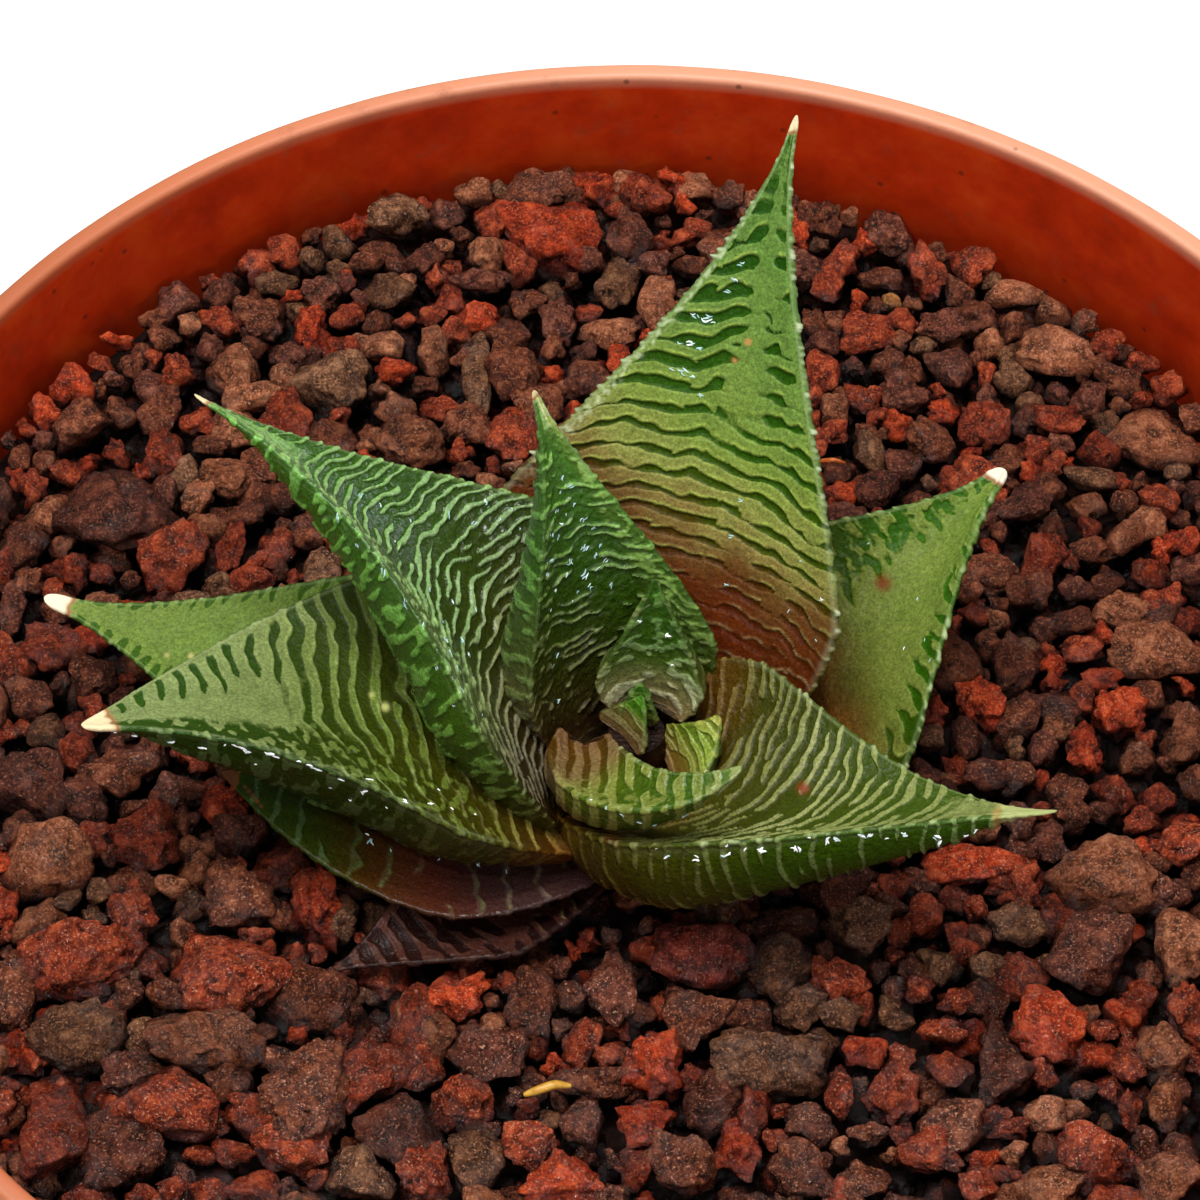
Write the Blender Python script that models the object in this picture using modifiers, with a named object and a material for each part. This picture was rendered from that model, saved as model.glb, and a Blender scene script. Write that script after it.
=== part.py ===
import math
import random

import bmesh
import bpy
import numpy as np
from mathutils import Vector
from mathutils.geometry import delaunay_2d_cdt

# Potted haworthia: a rosette of ridged leaves on a short stem,
# standing in lava grit in a thin-walled pot.
# Lengths are in millimetres here and become metres as the meshes are made.
# The pot stands on z = 0, its axis is the z axis, the front faces -Y.
MM = 0.001
GAP = 0.3
CUT_GAP = 0.36
SHARP_ANGLE = math.radians(35)
SEED = 41

# pot
RIM_RADIUS = 60.0
POT_HEIGHT = 100.0
BAND_HEIGHT = 17.0
BAND_FOOT_RADIUS = 59.3
BODY_TOP_RADIUS = 57.2
BASE_RADIUS = 43.0
FOOT_WIDTH = 3.6
FOOT_RECESS = 2.2
FOOT_ROUND = 1.0
FOOT_DRAFT = 0.6
WALL = 1.6
FLOOR = 2.0
FLOOR_ROUND = 1.4
RIM_ROUND = 0.8
RIM_ARCS = 4
BAND_LEDGE = 0.6
POT_STEPS = 48
HOLE_COUNT = 6
HOLE_RADIUS = 4.5
HOLE_CIRCLE = 27.0
HOLE_SIDES = 16

# grit surface: middle height, rise toward the back, fall toward the right
GRIT_LEVEL = 87.5
GRIT_BACK_RISE = 0.0010
GRIT_SIDE_FALL = 0.035
WALL_CLEAR = 56.3
SEEN_NEARNESS = 0.72
FILL_TRIES = 3000
FILL_RADIUS = (2.2, 3.8)
FILL_NEARNESS = 0.9
SHOULDER_CORNERS = 5
SHOULDER_REACH = (0.60, 0.74)
SHOULDER_HEIGHT = (0.62, 0.90)
PEAK_REACH = (0.0, 0.25)
PEAK_HEIGHT = (0.90, 1.05)
PEAKED_RADIUS = 2.5
STONE_LEAN = 0.25
STONE_SQUASH = (0.8, 1.1)
STONE_COVER = 0.85
VALLEY_DEPTH = 1.8
POINT_CLEAR = 1.3

# stem
HEART = (0.0, -4.0)
STEM_LEVELS = ((58.0, 1.6), (64.0, 2.8), (74.0, 3.6), (86.0, 4.0), (93.0, 3.4), (97.2, 2.0))
STEM_SIDES = 20

# place the picture was taken from, as millimetres and as a focal length in
# picture points, used to lay the stones where they are seen
EYE = (-2.6, -180.8, 339.4)
EYE_DIP = math.radians(52.1)
FOCAL = 4228.0
PICTURE_MIDDLE = 600.0

# Each leaf: az is the bearing it leaves the stem on, r0 and side0 its start
# from the heart, z0 its start height, rise the climb at root and tip, sweep
# the turn along its length, curl the half angle of its trough and roll its
# tilt about its own length.
COMMON = dict(side0=0.0, sweep=0.0, sweep_pow=1.0, base=0.75, shoulder=1.2, point=1.4,
              keel=0.0, roll0=0.0, roll1=0.0, tip=0.45, ridges=13)
LEAVES = {
    "leaf_heart_back": dict(
        az=77, r0=-0.6, side0=0.4, z0=97.5, length=4.4, rise0=79, rise1=74, width=4.4,
        peak=0.28, thick=1.6, curl0=41, curl1=22, tip=0.35, ridges=3),
    "leaf_heart_front": dict(
        az=-35, r0=-1.3, side0=2.7, z0=98.2, length=5.8, rise0=38, rise1=46, sweep=50,
        width=4.4, peak=0.3, thick=2.6, curl0=30, curl1=20, tip=0.35, ridges=4),
    "leaf_inner_back": dict(
        az=77, r0=2.2, side0=0.5, z0=98, length=11.5, rise0=84, rise1=75, sweep=11,
        width=7.9, peak=0.23, base=0.74, point=1.3, thick=3.3, curl0=60, curl1=21,
        roll1=7, ridges=6),
    "leaf_inner_front": dict(
        az=-99, r0=2.0, side0=3.5, z0=97.5, length=19.8, rise0=30, rise1=32, sweep=117,
        width=5.4, peak=0.3, base=0.7, shoulder=1.5, point=1.02, keel=0.1, thick=3.1,
        curl0=64, curl1=21, ridges=7),
    "leaf_inner_right": dict(
        az=3, r0=2.2, side0=2.8, z0=95.6, length=6.2, rise0=53, rise1=51, sweep=44,
        width=5.6, peak=0.34, base=0.8, point=1.2, thick=2.4, curl0=39, curl1=16,
        ridges=4),
    "leaf_centre": dict(
        az=114, r0=3.2, side0=-0.2, z0=94.8, length=27.5, rise0=73, rise1=60, sweep=13,
        width=15.9, peak=0.22, base=0.76, point=1.54, keel=-0.5, thick=5.0, curl0=61,
        curl1=30, roll0=-4, ridges=10),
    "leaf_right_front": dict(
        az=-54, r0=1.4, z0=93.5, length=33.1, rise0=35, rise1=7, sweep=52, sweep_pow=0.7,
        width=19.8, peak=0.23, base=0.87, keel=0.41, thick=5.9, curl0=62, curl1=20,
        roll0=16, roll1=-38),
    "leaf_left_upper": dict(
        az=147, r0=3.2, side0=-0.6, z0=94.2, length=38.4, rise0=48, rise1=22, sweep=12,
        width=24, peak=0.25, base=0.83, point=1.48, keel=-0.43, thick=5.1, curl0=46,
        curl1=23, roll1=39, ridges=14),
    "leaf_back": dict(
        az=65, r0=3.4, side0=-2.3, z0=92.9, length=45.2, rise0=48, rise1=45, sweep=5,
        width=28, peak=0.26, base=0.76, point=1.66, thick=5.6, curl0=31, curl1=16,
        roll1=-8, ridges=16),
    "leaf_left": dict(
        az=182, r0=4.2, side0=1.5, z0=93.9, length=36.8, rise0=30, rise1=6, sweep=18,
        width=24, peak=0.31, base=0.8, point=1.04, keel=-0.51, thick=6.4, curl0=25,
        curl1=14, roll0=-12, roll1=24, tip=0.9),
    "leaf_right_rear": dict(
        az=31, r0=5.1, side0=1.0, z0=91.2, length=30.6, rise0=27, rise1=17, sweep=16,
        width=24, peak=0.33, point=1.35, thick=4.2, curl0=19, curl1=56, roll0=18,
        roll1=-13, tip=0.8, ridges=11),
    "leaf_left_rear": dict(
        az=167, r0=4.8, side0=0.3, z0=91.3, length=40.5, rise0=8, rise1=6, sweep=-7,
        width=19, peak=0.44, point=1.6, keel=-0.5, thick=4.3, curl0=29, curl1=15,
        roll0=-10, roll1=-12, tip=0.9),
    "leaf_left_lower": dict(
        az=197, r0=3.9, z0=90.5, length=26.5, rise0=5, rise1=15, sweep=-30, width=19.8,
        peak=0.38, shoulder=1.4, point=1.13, thick=3.6, curl0=20, curl1=9, ridges=9),
    "leaf_dry": dict(
        az=222, r0=5.5, z0=88.6, length=21, rise0=6, rise1=4, sweep=-14, width=11,
        peak=0.45, thick=1.3, curl0=35, curl1=30, roll0=-8, roll1=-8, ridges=7),
}
UPPER_SPANS = 6
LOWER_SPANS = 4
EDGE = 0.75
THINNEST = 0.65
ROOT_KEEL = 2.0
TIP_KEEL = 1.2
THICK_POWER = 0.75
CURL_POWER = 0.8
RIDGE_RISE = 0.24
RIDGE_FADE = 0.25
RIDGE_MARGIN = 1.3
RIDGE_CLEAR = 0.6
CUTTER_RINGS = 14
LENGTH_SAMPLES = 160

# colour, roughness
POT_LOOK = ((0.46, 0.10, 0.035), 0.45)
GRIT_LOOK = ((0.12, 0.035, 0.02), 0.6)
STEM_LOOK = ((0.20, 0.16, 0.08), 0.6)
LEAF_LOOK = ((0.07, 0.20, 0.03), 0.3)
DRY_LOOK = ((0.10, 0.05, 0.05), 0.5)

# Stones large enough to tell apart, as picture position and width.
SEEN_STONES = (
    (222, 316, 45), (163, 335, 40), (309, 323, 48), (78, 418, 60), (161, 407, 52),
    (233, 367, 58), (335, 380, 84), (375, 343, 42), (166, 450, 46), (112, 498, 98),
    (166, 552, 82), (225, 474, 56), (284, 495, 46), (67, 471, 42), (24, 541, 60),
    (51, 648, 56), (91, 675, 50), (29, 696, 46), (402, 434, 62), (198, 418, 42),
    (399, 209, 66), (449, 209, 42), (523, 153, 60), (621, 140, 42), (694, 150, 46),
    (644, 190, 60), (548, 223, 96), (495, 216, 46), (691, 229, 42), (625, 229, 52),
    (615, 282, 54), (654, 296, 48), (608, 329, 54), (588, 375, 56), (482, 316, 50),
    (472, 276, 40), (392, 289, 48), (366, 259, 40), (273, 282, 44), (525, 299, 42),
    (558, 316, 44), (479, 382, 56), (518, 362, 58), (386, 345, 46), (432, 349, 42),
    (412, 442, 74), (508, 432, 60), (820, 212, 46), (895, 220, 52), (842, 257, 42),
    (828, 285, 44), (930, 268, 46), (882, 276, 42), (1016, 287, 56), (868, 332, 60),
    (941, 321, 52), (1050, 351, 84), (825, 370, 44), (906, 394, 56), (951, 364, 50),
    (1120, 378, 54), (1166, 388, 42), (1152, 437, 88), (1059, 418, 54), (984, 426, 54),
    (930, 439, 56), (871, 447, 42), (876, 485, 48), (1034, 447, 42), (1088, 477, 48),
    (1085, 506, 42), (1026, 504, 52), (1147, 522, 42), (996, 573, 54), (1042, 556, 54),
    (1092, 553, 44), (1149, 569, 40), (1125, 613, 54), (1152, 652, 86), (1016, 666, 56),
    (1076, 622, 40), (1099, 679, 40), (1115, 712, 60), (1086, 748, 52), (1135, 758, 44),
    (1059, 705, 46), (966, 735, 42), (986, 772, 46), (1016, 772, 44), (1066, 791, 48),
    (1188, 735, 54), (1182, 841, 52), (1112, 874, 98), (1049, 845, 54), (966, 864, 60),
    (926, 914, 44), (1016, 927, 54), (1092, 951, 86), (1178, 934, 76), (1022, 980, 52),
    (29, 784, 80), (114, 772, 68), (53, 857, 86), (150, 834, 74), (132, 916, 52),
    (235, 892, 74), (76, 960, 98), (223, 966, 100), (317, 904, 58), (314, 998, 86),
    (15, 990, 60), (79, 1042, 80), (202, 1036, 88), (173, 1101, 88), (311, 1086, 90),
    (367, 1069, 82), (417, 1022, 66), (59, 1130, 92), (126, 1145, 84), (249, 1110, 50),
    (282, 1142, 66), (396, 1124, 74), (358, 1174, 60), (258, 1189, 48), (422, 1174, 52),
    (467, 955, 52), (532, 944, 62), (448, 992, 62), (529, 1003, 62), (613, 992, 54),
    (709, 953, 90), (782, 964, 66), (692, 1014, 68), (759, 1059, 98), (658, 1056, 64),
    (580, 1042, 46), (425, 1028, 60), (487, 1051, 68), (596, 1082, 66), (467, 1098, 68),
    (703, 1104, 60), (647, 1121, 56), (582, 1121, 52), (532, 1141, 54), (751, 1118, 44),
    (734, 1152, 50), (479, 1157, 58), (568, 1180, 68), (686, 1163, 70), (636, 1169, 42),
    (798, 1166, 66), (807, 1121, 46), (425, 1171, 58), (798, 1006, 54), (829, 981, 42),
    (861, 927, 64), (836, 976, 46), (892, 1016, 40), (838, 1014, 42), (864, 1050, 46),
    (1045, 1024, 76), (1004, 1070, 62), (950, 1070, 46), (887, 1093, 52), (838, 1095, 42),
    (958, 1123, 66), (1162, 1050, 60), (1188, 1006, 52), (1129, 1065, 42), (1165, 1106, 46),
    (1047, 1111, 44), (1088, 1157, 72), (818, 1126, 46), (1165, 1175, 62), (928, 1152, 60),
    (859, 1175, 46), (813, 1164, 46), (1053, 1185, 56), (976, 1182, 46), (585, 895, 60),
)


def clear_scene():
    """Remove every object so that the run starts from an empty scene."""
    for thing in list(bpy.data.objects):
        bpy.data.objects.remove(thing, do_unlink=True)


def make_collection(name, hidden):
    """Add a collection under the scene."""
    group = bpy.data.collections.new(name)
    bpy.context.scene.collection.children.link(group)
    group.hide_render = hidden
    return group


def make_material(name, look):
    """Principled material of one colour and roughness."""
    colour, roughness = look
    material = bpy.data.materials.new(name)
    material.use_nodes = True
    shader = material.node_tree.nodes["Principled BSDF"]
    shader.inputs["Base Color"].default_value = (*colour, 1.0)
    shader.inputs["Roughness"].default_value = roughness
    shader.inputs["Metallic"].default_value = 0.0
    return material


def add_object(name, vertices, edges, faces, group):
    """Object from points given in millimetres."""
    mesh = bpy.data.meshes.new(name)
    mesh.from_pydata([tuple(c * MM for c in point) for point in vertices], edges, faces)
    mesh.update()
    thing = bpy.data.objects.new(name, mesh)
    group.objects.link(thing)
    return thing


def face_outward(thing):
    """Turn all faces of a closed mesh outward."""
    work = bmesh.new()
    work.from_mesh(thing.data)
    bmesh.ops.recalc_face_normals(work, faces=work.faces)
    if work.calc_volume(signed=True) < 0:
        bmesh.ops.reverse_faces(work, faces=work.faces)
    work.to_mesh(thing.data)
    work.free()


def apply_modifiers(thing):
    """Replace the mesh by its result with all modifiers."""
    depsgraph = bpy.context.evaluated_depsgraph_get()
    result = bpy.data.meshes.new_from_object(thing.evaluated_get(depsgraph))
    thing.modifiers.clear()
    thing.data = result


def lathe(name, profile, steps, group):
    """Turn a profile about the z axis; its points run down the outer side."""
    points = [(r, 0.0, z) for r, z in profile]
    edges = [(i, i + 1) for i in range(len(points) - 1)]
    thing = add_object(name, points, edges, [], group)
    screw = thing.modifiers.new("turn", "SCREW")
    screw.axis = "Z"
    screw.steps = steps
    screw.render_steps = steps
    screw.use_merge_vertices = True
    screw.merge_threshold = 0.00001
    return thing


def subtract(thing, group, solver):
    """Cut a whole collection of solids from a solid."""
    cut = thing.modifiers.new("cut", "BOOLEAN")
    cut.operation = "DIFFERENCE"
    cut.operand_type = "COLLECTION"
    cut.collection = group
    cut.solver = solver


def keep_largest(thing):
    """Keep only the largest connected piece of a mesh."""
    work = bmesh.new()
    work.from_mesh(thing.data)
    left = set(work.verts)
    pieces = []
    while left:
        seed = left.pop()
        piece = {seed}
        front = [seed]
        while front:
            vert = front.pop()
            for edge in vert.link_edges:
                other = edge.other_vert(vert)
                if other in left:
                    left.discard(other)
                    piece.add(other)
                    front.append(other)
        pieces.append(piece)
    pieces.sort(key=len, reverse=True)
    scrap = [vert for piece in pieces[1:] for vert in piece]
    bmesh.ops.delete(work, geom=scrap, context="VERTS")
    bmesh.ops.triangulate(work, faces=[f for f in work.faces if len(f.verts) > 4])
    work.to_mesh(thing.data)
    work.free()


def finish(thing, name, look, smooth):
    """Give an object its one material and its shading."""
    thing.data.materials.clear()
    thing.data.materials.append(make_material(name, look))
    for face in thing.data.polygons:
        face.material_index = 0
        face.use_smooth = smooth
    if smooth:
        thing.data.set_sharp_from_angle(angle=SHARP_ANGLE)


def width_share(t, peak, base, shoulder, point):
    """Share of the full half width at t: base at the root, 1 at peak, 0 at the tip."""
    up = base + (1 - base) * np.sin(np.clip(t / peak, 0, 1) * np.pi / 2)
    s = np.clip((t - peak) / (1 - peak), 0, 1)
    down = (1 - s ** shoulder) ** point
    return np.where(t < peak, up, down)


def leaf_path(spec, t):
    """Centre line of a leaf at t and its up and side directions there."""
    fine = np.linspace(0, 1, LENGTH_SAMPLES)
    rise = np.radians(spec["rise0"] + (spec["rise1"] - spec["rise0"]) * fine)
    bearing = np.radians(spec["az"] + spec["sweep"] * fine ** spec["sweep_pow"])
    ahead = np.column_stack([np.cos(rise) * np.cos(bearing),
                             np.cos(rise) * np.sin(bearing), np.sin(rise)])
    az = math.radians(spec["az"])
    start = np.array([HEART[0] + spec["r0"] * math.cos(az) + spec["side0"] * math.sin(az),
                      HEART[1] + spec["r0"] * math.sin(az) - spec["side0"] * math.cos(az),
                      spec["z0"]])
    steps = (ahead[1:] + ahead[:-1]) / 2 * spec["length"] / (LENGTH_SAMPLES - 1)
    path = np.vstack([start, start + np.cumsum(steps, axis=0)])
    place = np.column_stack([np.interp(t, fine, path[:, i]) for i in range(3)])
    rise = np.interp(t, fine, rise)
    bearing = np.interp(t, fine, bearing)
    ahead = np.column_stack([np.cos(rise) * np.cos(bearing),
                             np.cos(rise) * np.sin(bearing), np.sin(rise)])
    up = np.column_stack([-np.sin(rise) * np.cos(bearing),
                          -np.sin(rise) * np.sin(bearing), np.cos(rise)])
    side = np.cross(ahead, up)
    roll = np.radians(spec["roll0"] + (spec["roll1"] - spec["roll0"]) * t)[:, None]
    tilted_up = up * np.cos(roll) + side * np.sin(roll)
    tilted_side = side * np.cos(roll) - up * np.sin(roll)
    return place, ahead, tilted_up, tilted_side


def leaf_section(spec, t, across):
    """Upper face as side and height offsets, its slope, and the blade thickness."""
    share = width_share(t, spec["peak"], spec["base"], spec["shoulder"], spec["point"])
    half = np.hypot(spec["width"] / 2 * share, spec["tip"])
    curl = np.radians(spec["curl0"] + (spec["curl1"] - spec["curl0"]) * t ** CURL_POWER)
    x = half * np.sin(curl * across) / curl
    h = half * (1 - np.cos(curl * across)) / curl
    keel = spec["keel"]
    away = np.where(across > keel, (across - keel) / (1 - keel), (keel - across) / (1 + keel))
    sharpness = ROOT_KEEL + (TIP_KEEL - ROOT_KEEL) * np.clip((t - 0.1) / 0.6, 0, 1)
    middle = spec["thick"] * share ** THICK_POWER
    thick = EDGE + (middle - EDGE) * np.clip(1 - away ** sharpness, 0, 1)
    thick = np.maximum(thick, THINNEST)
    return x, h, -np.sin(curl * across), np.cos(curl * across), thick


def leaf_rings(spec, count, ridged):
    """Rings of points round the blade, upper face first, from root to tip."""
    t = np.linspace(0, 1, count)
    place, ahead, up, side = leaf_path(spec, t)
    column = t[:, None]
    upper = np.linspace(-1, 1, UPPER_SPANS + 1)[None, :]
    lower = np.linspace(1, -1, LOWER_SPANS + 1)[None, :]
    ripple = np.zeros((count, 1))
    if ridged:
        ripple[1:-1:2] = RIDGE_RISE
        ripple[2:-1:2] = -RIDGE_RISE
        ripple *= np.clip((1.0 - column) / RIDGE_FADE, 0, 1)
    x, h, nx, nh, thick = leaf_section(spec, column, upper)
    relief = ripple * np.clip(RIDGE_MARGIN - np.abs(upper), 0, 1)
    ux = x + nx * relief
    uh = h + nh * relief
    x, h, nx, nh, thick = leaf_section(spec, column, lower)
    relief = ripple * np.clip(RIDGE_MARGIN - np.abs(lower), 0, 1)
    lx = x - nx * (thick - relief)
    lh = h - nh * (thick - relief)
    across = np.concatenate([ux, lx], axis=1)
    height = np.concatenate([uh, lh], axis=1)
    return place, ahead, up, side, across, height


def grow_outline(across, height, grow):
    """Move every point of each closed section outward in its own plane."""
    dx = np.roll(across, -1, axis=1) - across
    dh = np.roll(height, -1, axis=1) - height
    size = np.maximum(np.hypot(dx, dh), 1e-6)
    dx = dx / size
    dh = dh / size
    out_x = -(dh + np.roll(dh, 1, axis=1))
    out_h = dx + np.roll(dx, 1, axis=1)
    size = np.maximum(np.hypot(out_x, out_h), 0.5)
    reach = grow * 2 / size
    reach = np.minimum(reach, grow * 1.5)
    return across + out_x / size * reach, height + out_h / size * reach


def loft(name, points, group):
    """Closed solid through rings of equal point counts with flat end caps."""
    count, around = points.shape[:2]
    vertices = [tuple(p) for p in points.reshape(-1, 3)]
    faces = []
    for i in range(count - 1):
        for j in range(around):
            k = (j + 1) % around
            a, b = i * around + j, i * around + k
            c, d = (i + 1) * around + k, (i + 1) * around + j
            faces.append((a, b, c))
            faces.append((a, c, d))
    for start in (0, (count - 1) * around):
        for j in range(UPPER_SPANS):
            low_a = around - 1 - j * LOWER_SPANS // UPPER_SPANS
            low_b = around - 1 - (j + 1) * LOWER_SPANS // UPPER_SPANS
            faces.append((start + j, start + j + 1, start + low_a))
            if low_a != low_b:
                faces.append((start + j + 1, start + low_b, start + low_a))
    thing = add_object(name, vertices, [], faces, group)
    face_outward(thing)
    return thing


def leaf_points(spec, count, ridged, grow):
    """World points of the leaf's rings, grown outward by a clearance."""
    place, ahead, up, side, across, height = leaf_rings(spec, count, ridged)
    if grow:
        across, height = grow_outline(across, height, grow)
        place = place.copy()
        place[0] -= ahead[0] * grow
        place[-1] += ahead[-1] * grow
    return (place[:, None] + side[:, None] * across[..., None]
            + up[:, None] * height[..., None])


def full_spec(name):
    """A leaf's own numbers on top of the common ones."""
    spec = dict(COMMON)
    spec.update(LEAVES[name])
    return spec


def body_radius(z):
    """Outer radius of the tapered wall under the rim band."""
    return BASE_RADIUS + (BODY_TOP_RADIUS - BASE_RADIUS) * z / (POT_HEIGHT - BAND_HEIGHT)


def pot_inside():
    """Inner wall from the floor's edge up to the foot of the rim band."""
    floor_top = FOOT_RECESS + FLOOR
    band_foot = POT_HEIGHT - BAND_HEIGHT
    return [
        (body_radius(floor_top) - WALL - FLOOR_ROUND, floor_top),
        (body_radius(floor_top + FLOOR_ROUND) - WALL, floor_top + FLOOR_ROUND),
        (body_radius(band_foot - WALL) - WALL, band_foot - WALL),
        (BAND_FOOT_RADIUS - WALL, band_foot + BAND_LEDGE)]


def pot_profile():
    """Pot section: up the inside from the floor middle, over the rim, down the outside."""
    band_foot = POT_HEIGHT - BAND_HEIGHT
    rim = []
    for i in range(RIM_ARCS + 1):
        angle = math.pi * (1 - i / RIM_ARCS)
        rim.append((RIM_RADIUS - WALL / 2 * (1 - math.cos(angle)),
                    POT_HEIGHT - RIM_ROUND * (1 - math.sin(angle))))
    outside = [
        (BAND_FOOT_RADIUS, band_foot + BAND_LEDGE), (BAND_FOOT_RADIUS - BAND_LEDGE, band_foot),
        (body_radius(band_foot - BAND_LEDGE), band_foot - BAND_LEDGE),
        (body_radius(FOOT_ROUND), FOOT_ROUND), (BASE_RADIUS - FOOT_ROUND, 0.0),
        (BASE_RADIUS - FOOT_WIDTH, 0.0), (BASE_RADIUS - FOOT_WIDTH - FOOT_DRAFT, FOOT_RECESS),
        (0.0, FOOT_RECESS)]
    return [(0.0, FOOT_RECESS + FLOOR)] + pot_inside() + rim + outside


def make_pot(parts, cutters):
    """Thin pot with a rim band, a foot ring and drain holes."""
    pot = lathe("pot", pot_profile(), POT_STEPS, parts)
    for i in range(HOLE_COUNT):
        angle = math.tau * (i + 0.5) / HOLE_COUNT
        spot = Vector((HOLE_CIRCLE * math.cos(angle), HOLE_CIRCLE * math.sin(angle),
                       FOOT_RECESS + FLOOR / 2)) * MM
        ring = bmesh.new()
        bmesh.ops.create_cone(ring, cap_ends=True, segments=HOLE_SIDES,
                              radius1=HOLE_RADIUS * MM, radius2=HOLE_RADIUS * MM,
                              depth=FLOOR * 3 * MM)
        bmesh.ops.translate(ring, verts=ring.verts, vec=spot)
        mesh = bpy.data.meshes.new("drain_hole")
        ring.to_mesh(mesh)
        ring.free()
        cutters.objects.link(bpy.data.objects.new("drain_hole_%d" % i, mesh))
    subtract(pot, cutters, "EXACT")
    apply_modifiers(pot)
    return pot


def grit_height(x, y):
    """Height of the packed grit between the stones."""
    return GRIT_LEVEL + GRIT_BACK_RISE * max(y, 0.0) ** 2 - GRIT_SIDE_FALL * x


def seen_at(px, py, z):
    """World x and y of a spot seen in the picture, at the height z."""
    right = (px - PICTURE_MIDDLE) / FOCAL
    lift = (PICTURE_MIDDLE - py) / FOCAL
    forward = math.cos(EYE_DIP) + lift * math.sin(EYE_DIP)
    down = math.sin(EYE_DIP) - lift * math.cos(EYE_DIP)
    reach = (EYE[2] - z) / down
    return EYE[0] + right * reach, EYE[1] + forward * reach


def stone_places(rng):
    """Centres and radii of the stones: the seen ones, then a random fill."""
    scale = FOCAL / (EYE[2] - GRIT_LEVEL) * math.sin(EYE_DIP)
    places = []
    for px, py, wide in sorted(SEEN_STONES, key=lambda stone: -stone[2]):
        radius = wide / scale / 2
        x, y = seen_at(px, py, GRIT_LEVEL + radius * 0.9)
        reach = math.hypot(x, y)
        limit = WALL_CLEAR - radius * 0.8
        if reach > limit:
            x, y = x * limit / reach, y * limit / reach
        if all(math.hypot(x - a, y - b) > SEEN_NEARNESS * (radius + c) for a, b, c in places):
            places.append((x, y, radius))
    for _ in range(FILL_TRIES):
        radius = rng.uniform(*FILL_RADIUS)
        angle = rng.uniform(0, math.tau)
        reach = (WALL_CLEAR - radius * 0.8) * math.sqrt(rng.random())
        x, y = reach * math.cos(angle), reach * math.sin(angle)
        if all(math.hypot(x - a, y - b) > FILL_NEARNESS * (radius + c) for a, b, c in places):
            places.append((x, y, radius))
    return places


def relief_points(rng, places):
    """Points of the grit's top: stone tops and shoulders, and the low spots between."""
    points = []
    for i, (x, y, radius) in enumerate(places):
        spin = rng.uniform(0, math.tau)
        lean = rng.uniform(0, STONE_LEAN)
        lean_to = rng.uniform(0, math.tau)
        squash = rng.uniform(*STONE_SQUASH)
        ground = grit_height(x, y)
        corners = SHOULDER_CORNERS + (1 if radius > PEAKED_RADIUS else 0)
        for j in range(corners):
            if j == SHOULDER_CORNERS:
                reach = radius * rng.uniform(*PEAK_REACH)
                dome = rng.uniform(*PEAK_HEIGHT)
            else:
                reach = radius * rng.uniform(*SHOULDER_REACH)
                dome = rng.uniform(*SHOULDER_HEIGHT)
            angle = spin + math.tau * j / SHOULDER_CORNERS + rng.uniform(-0.3, 0.3)
            px, py = x + reach * math.cos(angle), y + reach * math.sin(angle)
            tilt = lean * reach * math.cos(angle - lean_to)
            height = ground + radius * dome * squash + tilt
            covered = any(math.hypot(px - a, py - b) < STONE_COVER * c
                          for k, (a, b, c) in enumerate(places) if k != i)
            crowded = any(math.hypot(px - p[0], py - p[1]) < POINT_CLEAR for p in points)
            if not covered and not crowded and math.hypot(px, py) < WALL_CLEAR:
                points.append((px, py, height))
    centres = [Vector((x, y)) for x, y, _ in places]
    _, _, cells, _, _, _ = delaunay_2d_cdt(centres, [], [], 0, 1e-6)
    for cell in cells:
        spots = []
        for j in range(3):
            ax, ay, ar = places[cell[j]]
            bx, by, br = places[cell[(j + 1) % 3]]
            share = ar / (ar + br)
            spots.append((ax + (bx - ax) * share, ay + (by - ay) * share))
        px = sum(p[0] for p in spots) / 3
        py = sum(p[1] for p in spots) / 3
        clear = all(math.hypot(px - p[0], py - p[1]) > POINT_CLEAR for p in points)
        if clear and math.hypot(px, py) < WALL_CLEAR:
            points.append((px, py, grit_height(px, py) - VALLEY_DEPTH))
    return points


def make_substrate(parts, cutters):
    """Grit filling the pot, its top a relief of many stones."""
    inside = pot_inside()
    top_radius = BAND_FOOT_RADIUS - WALL - GAP
    rng = random.Random(SEED)
    points = relief_points(rng, stone_places(rng))
    rim = []
    for j in range(POT_STEPS):
        angle = math.tau * j / POT_STEPS
        x, y = top_radius * math.cos(angle), top_radius * math.sin(angle)
        rim.append((x, y, grit_height(x, y)))
    flat = [Vector((x, y)) for x, y, _ in rim + points]
    border = [(j, (j + 1) % POT_STEPS) for j in range(POT_STEPS)]
    _, _, faces, _, _, _ = delaunay_2d_cdt(flat, border, [], 1, 1e-6)
    faces = [tuple(face) for face in faces]
    vertices = rim + points
    sides = [(inside[3][0] - GAP, inside[3][1] + GAP), (inside[2][0] - GAP, inside[2][1]),
             (inside[1][0] - GAP, inside[1][1]), (inside[0][0] - GAP, inside[0][1] + GAP)]
    above = list(range(POT_STEPS))
    for radius, z in sides:
        below = [len(vertices) + j for j in range(POT_STEPS)]
        for j in range(POT_STEPS):
            angle = math.tau * j / POT_STEPS
            vertices.append((radius * math.cos(angle), radius * math.sin(angle), z))
        for j in range(POT_STEPS):
            k = (j + 1) % POT_STEPS
            faces.append((above[j], above[k], below[k], below[j]))
        above = below
    faces.append(tuple(above))
    grit = add_object("substrate", vertices, [], faces, parts)
    face_outward(grit)
    subtract(grit, cutters, "MANIFOLD")
    apply_modifiers(grit)
    keep_largest(grit)
    return grit


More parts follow.
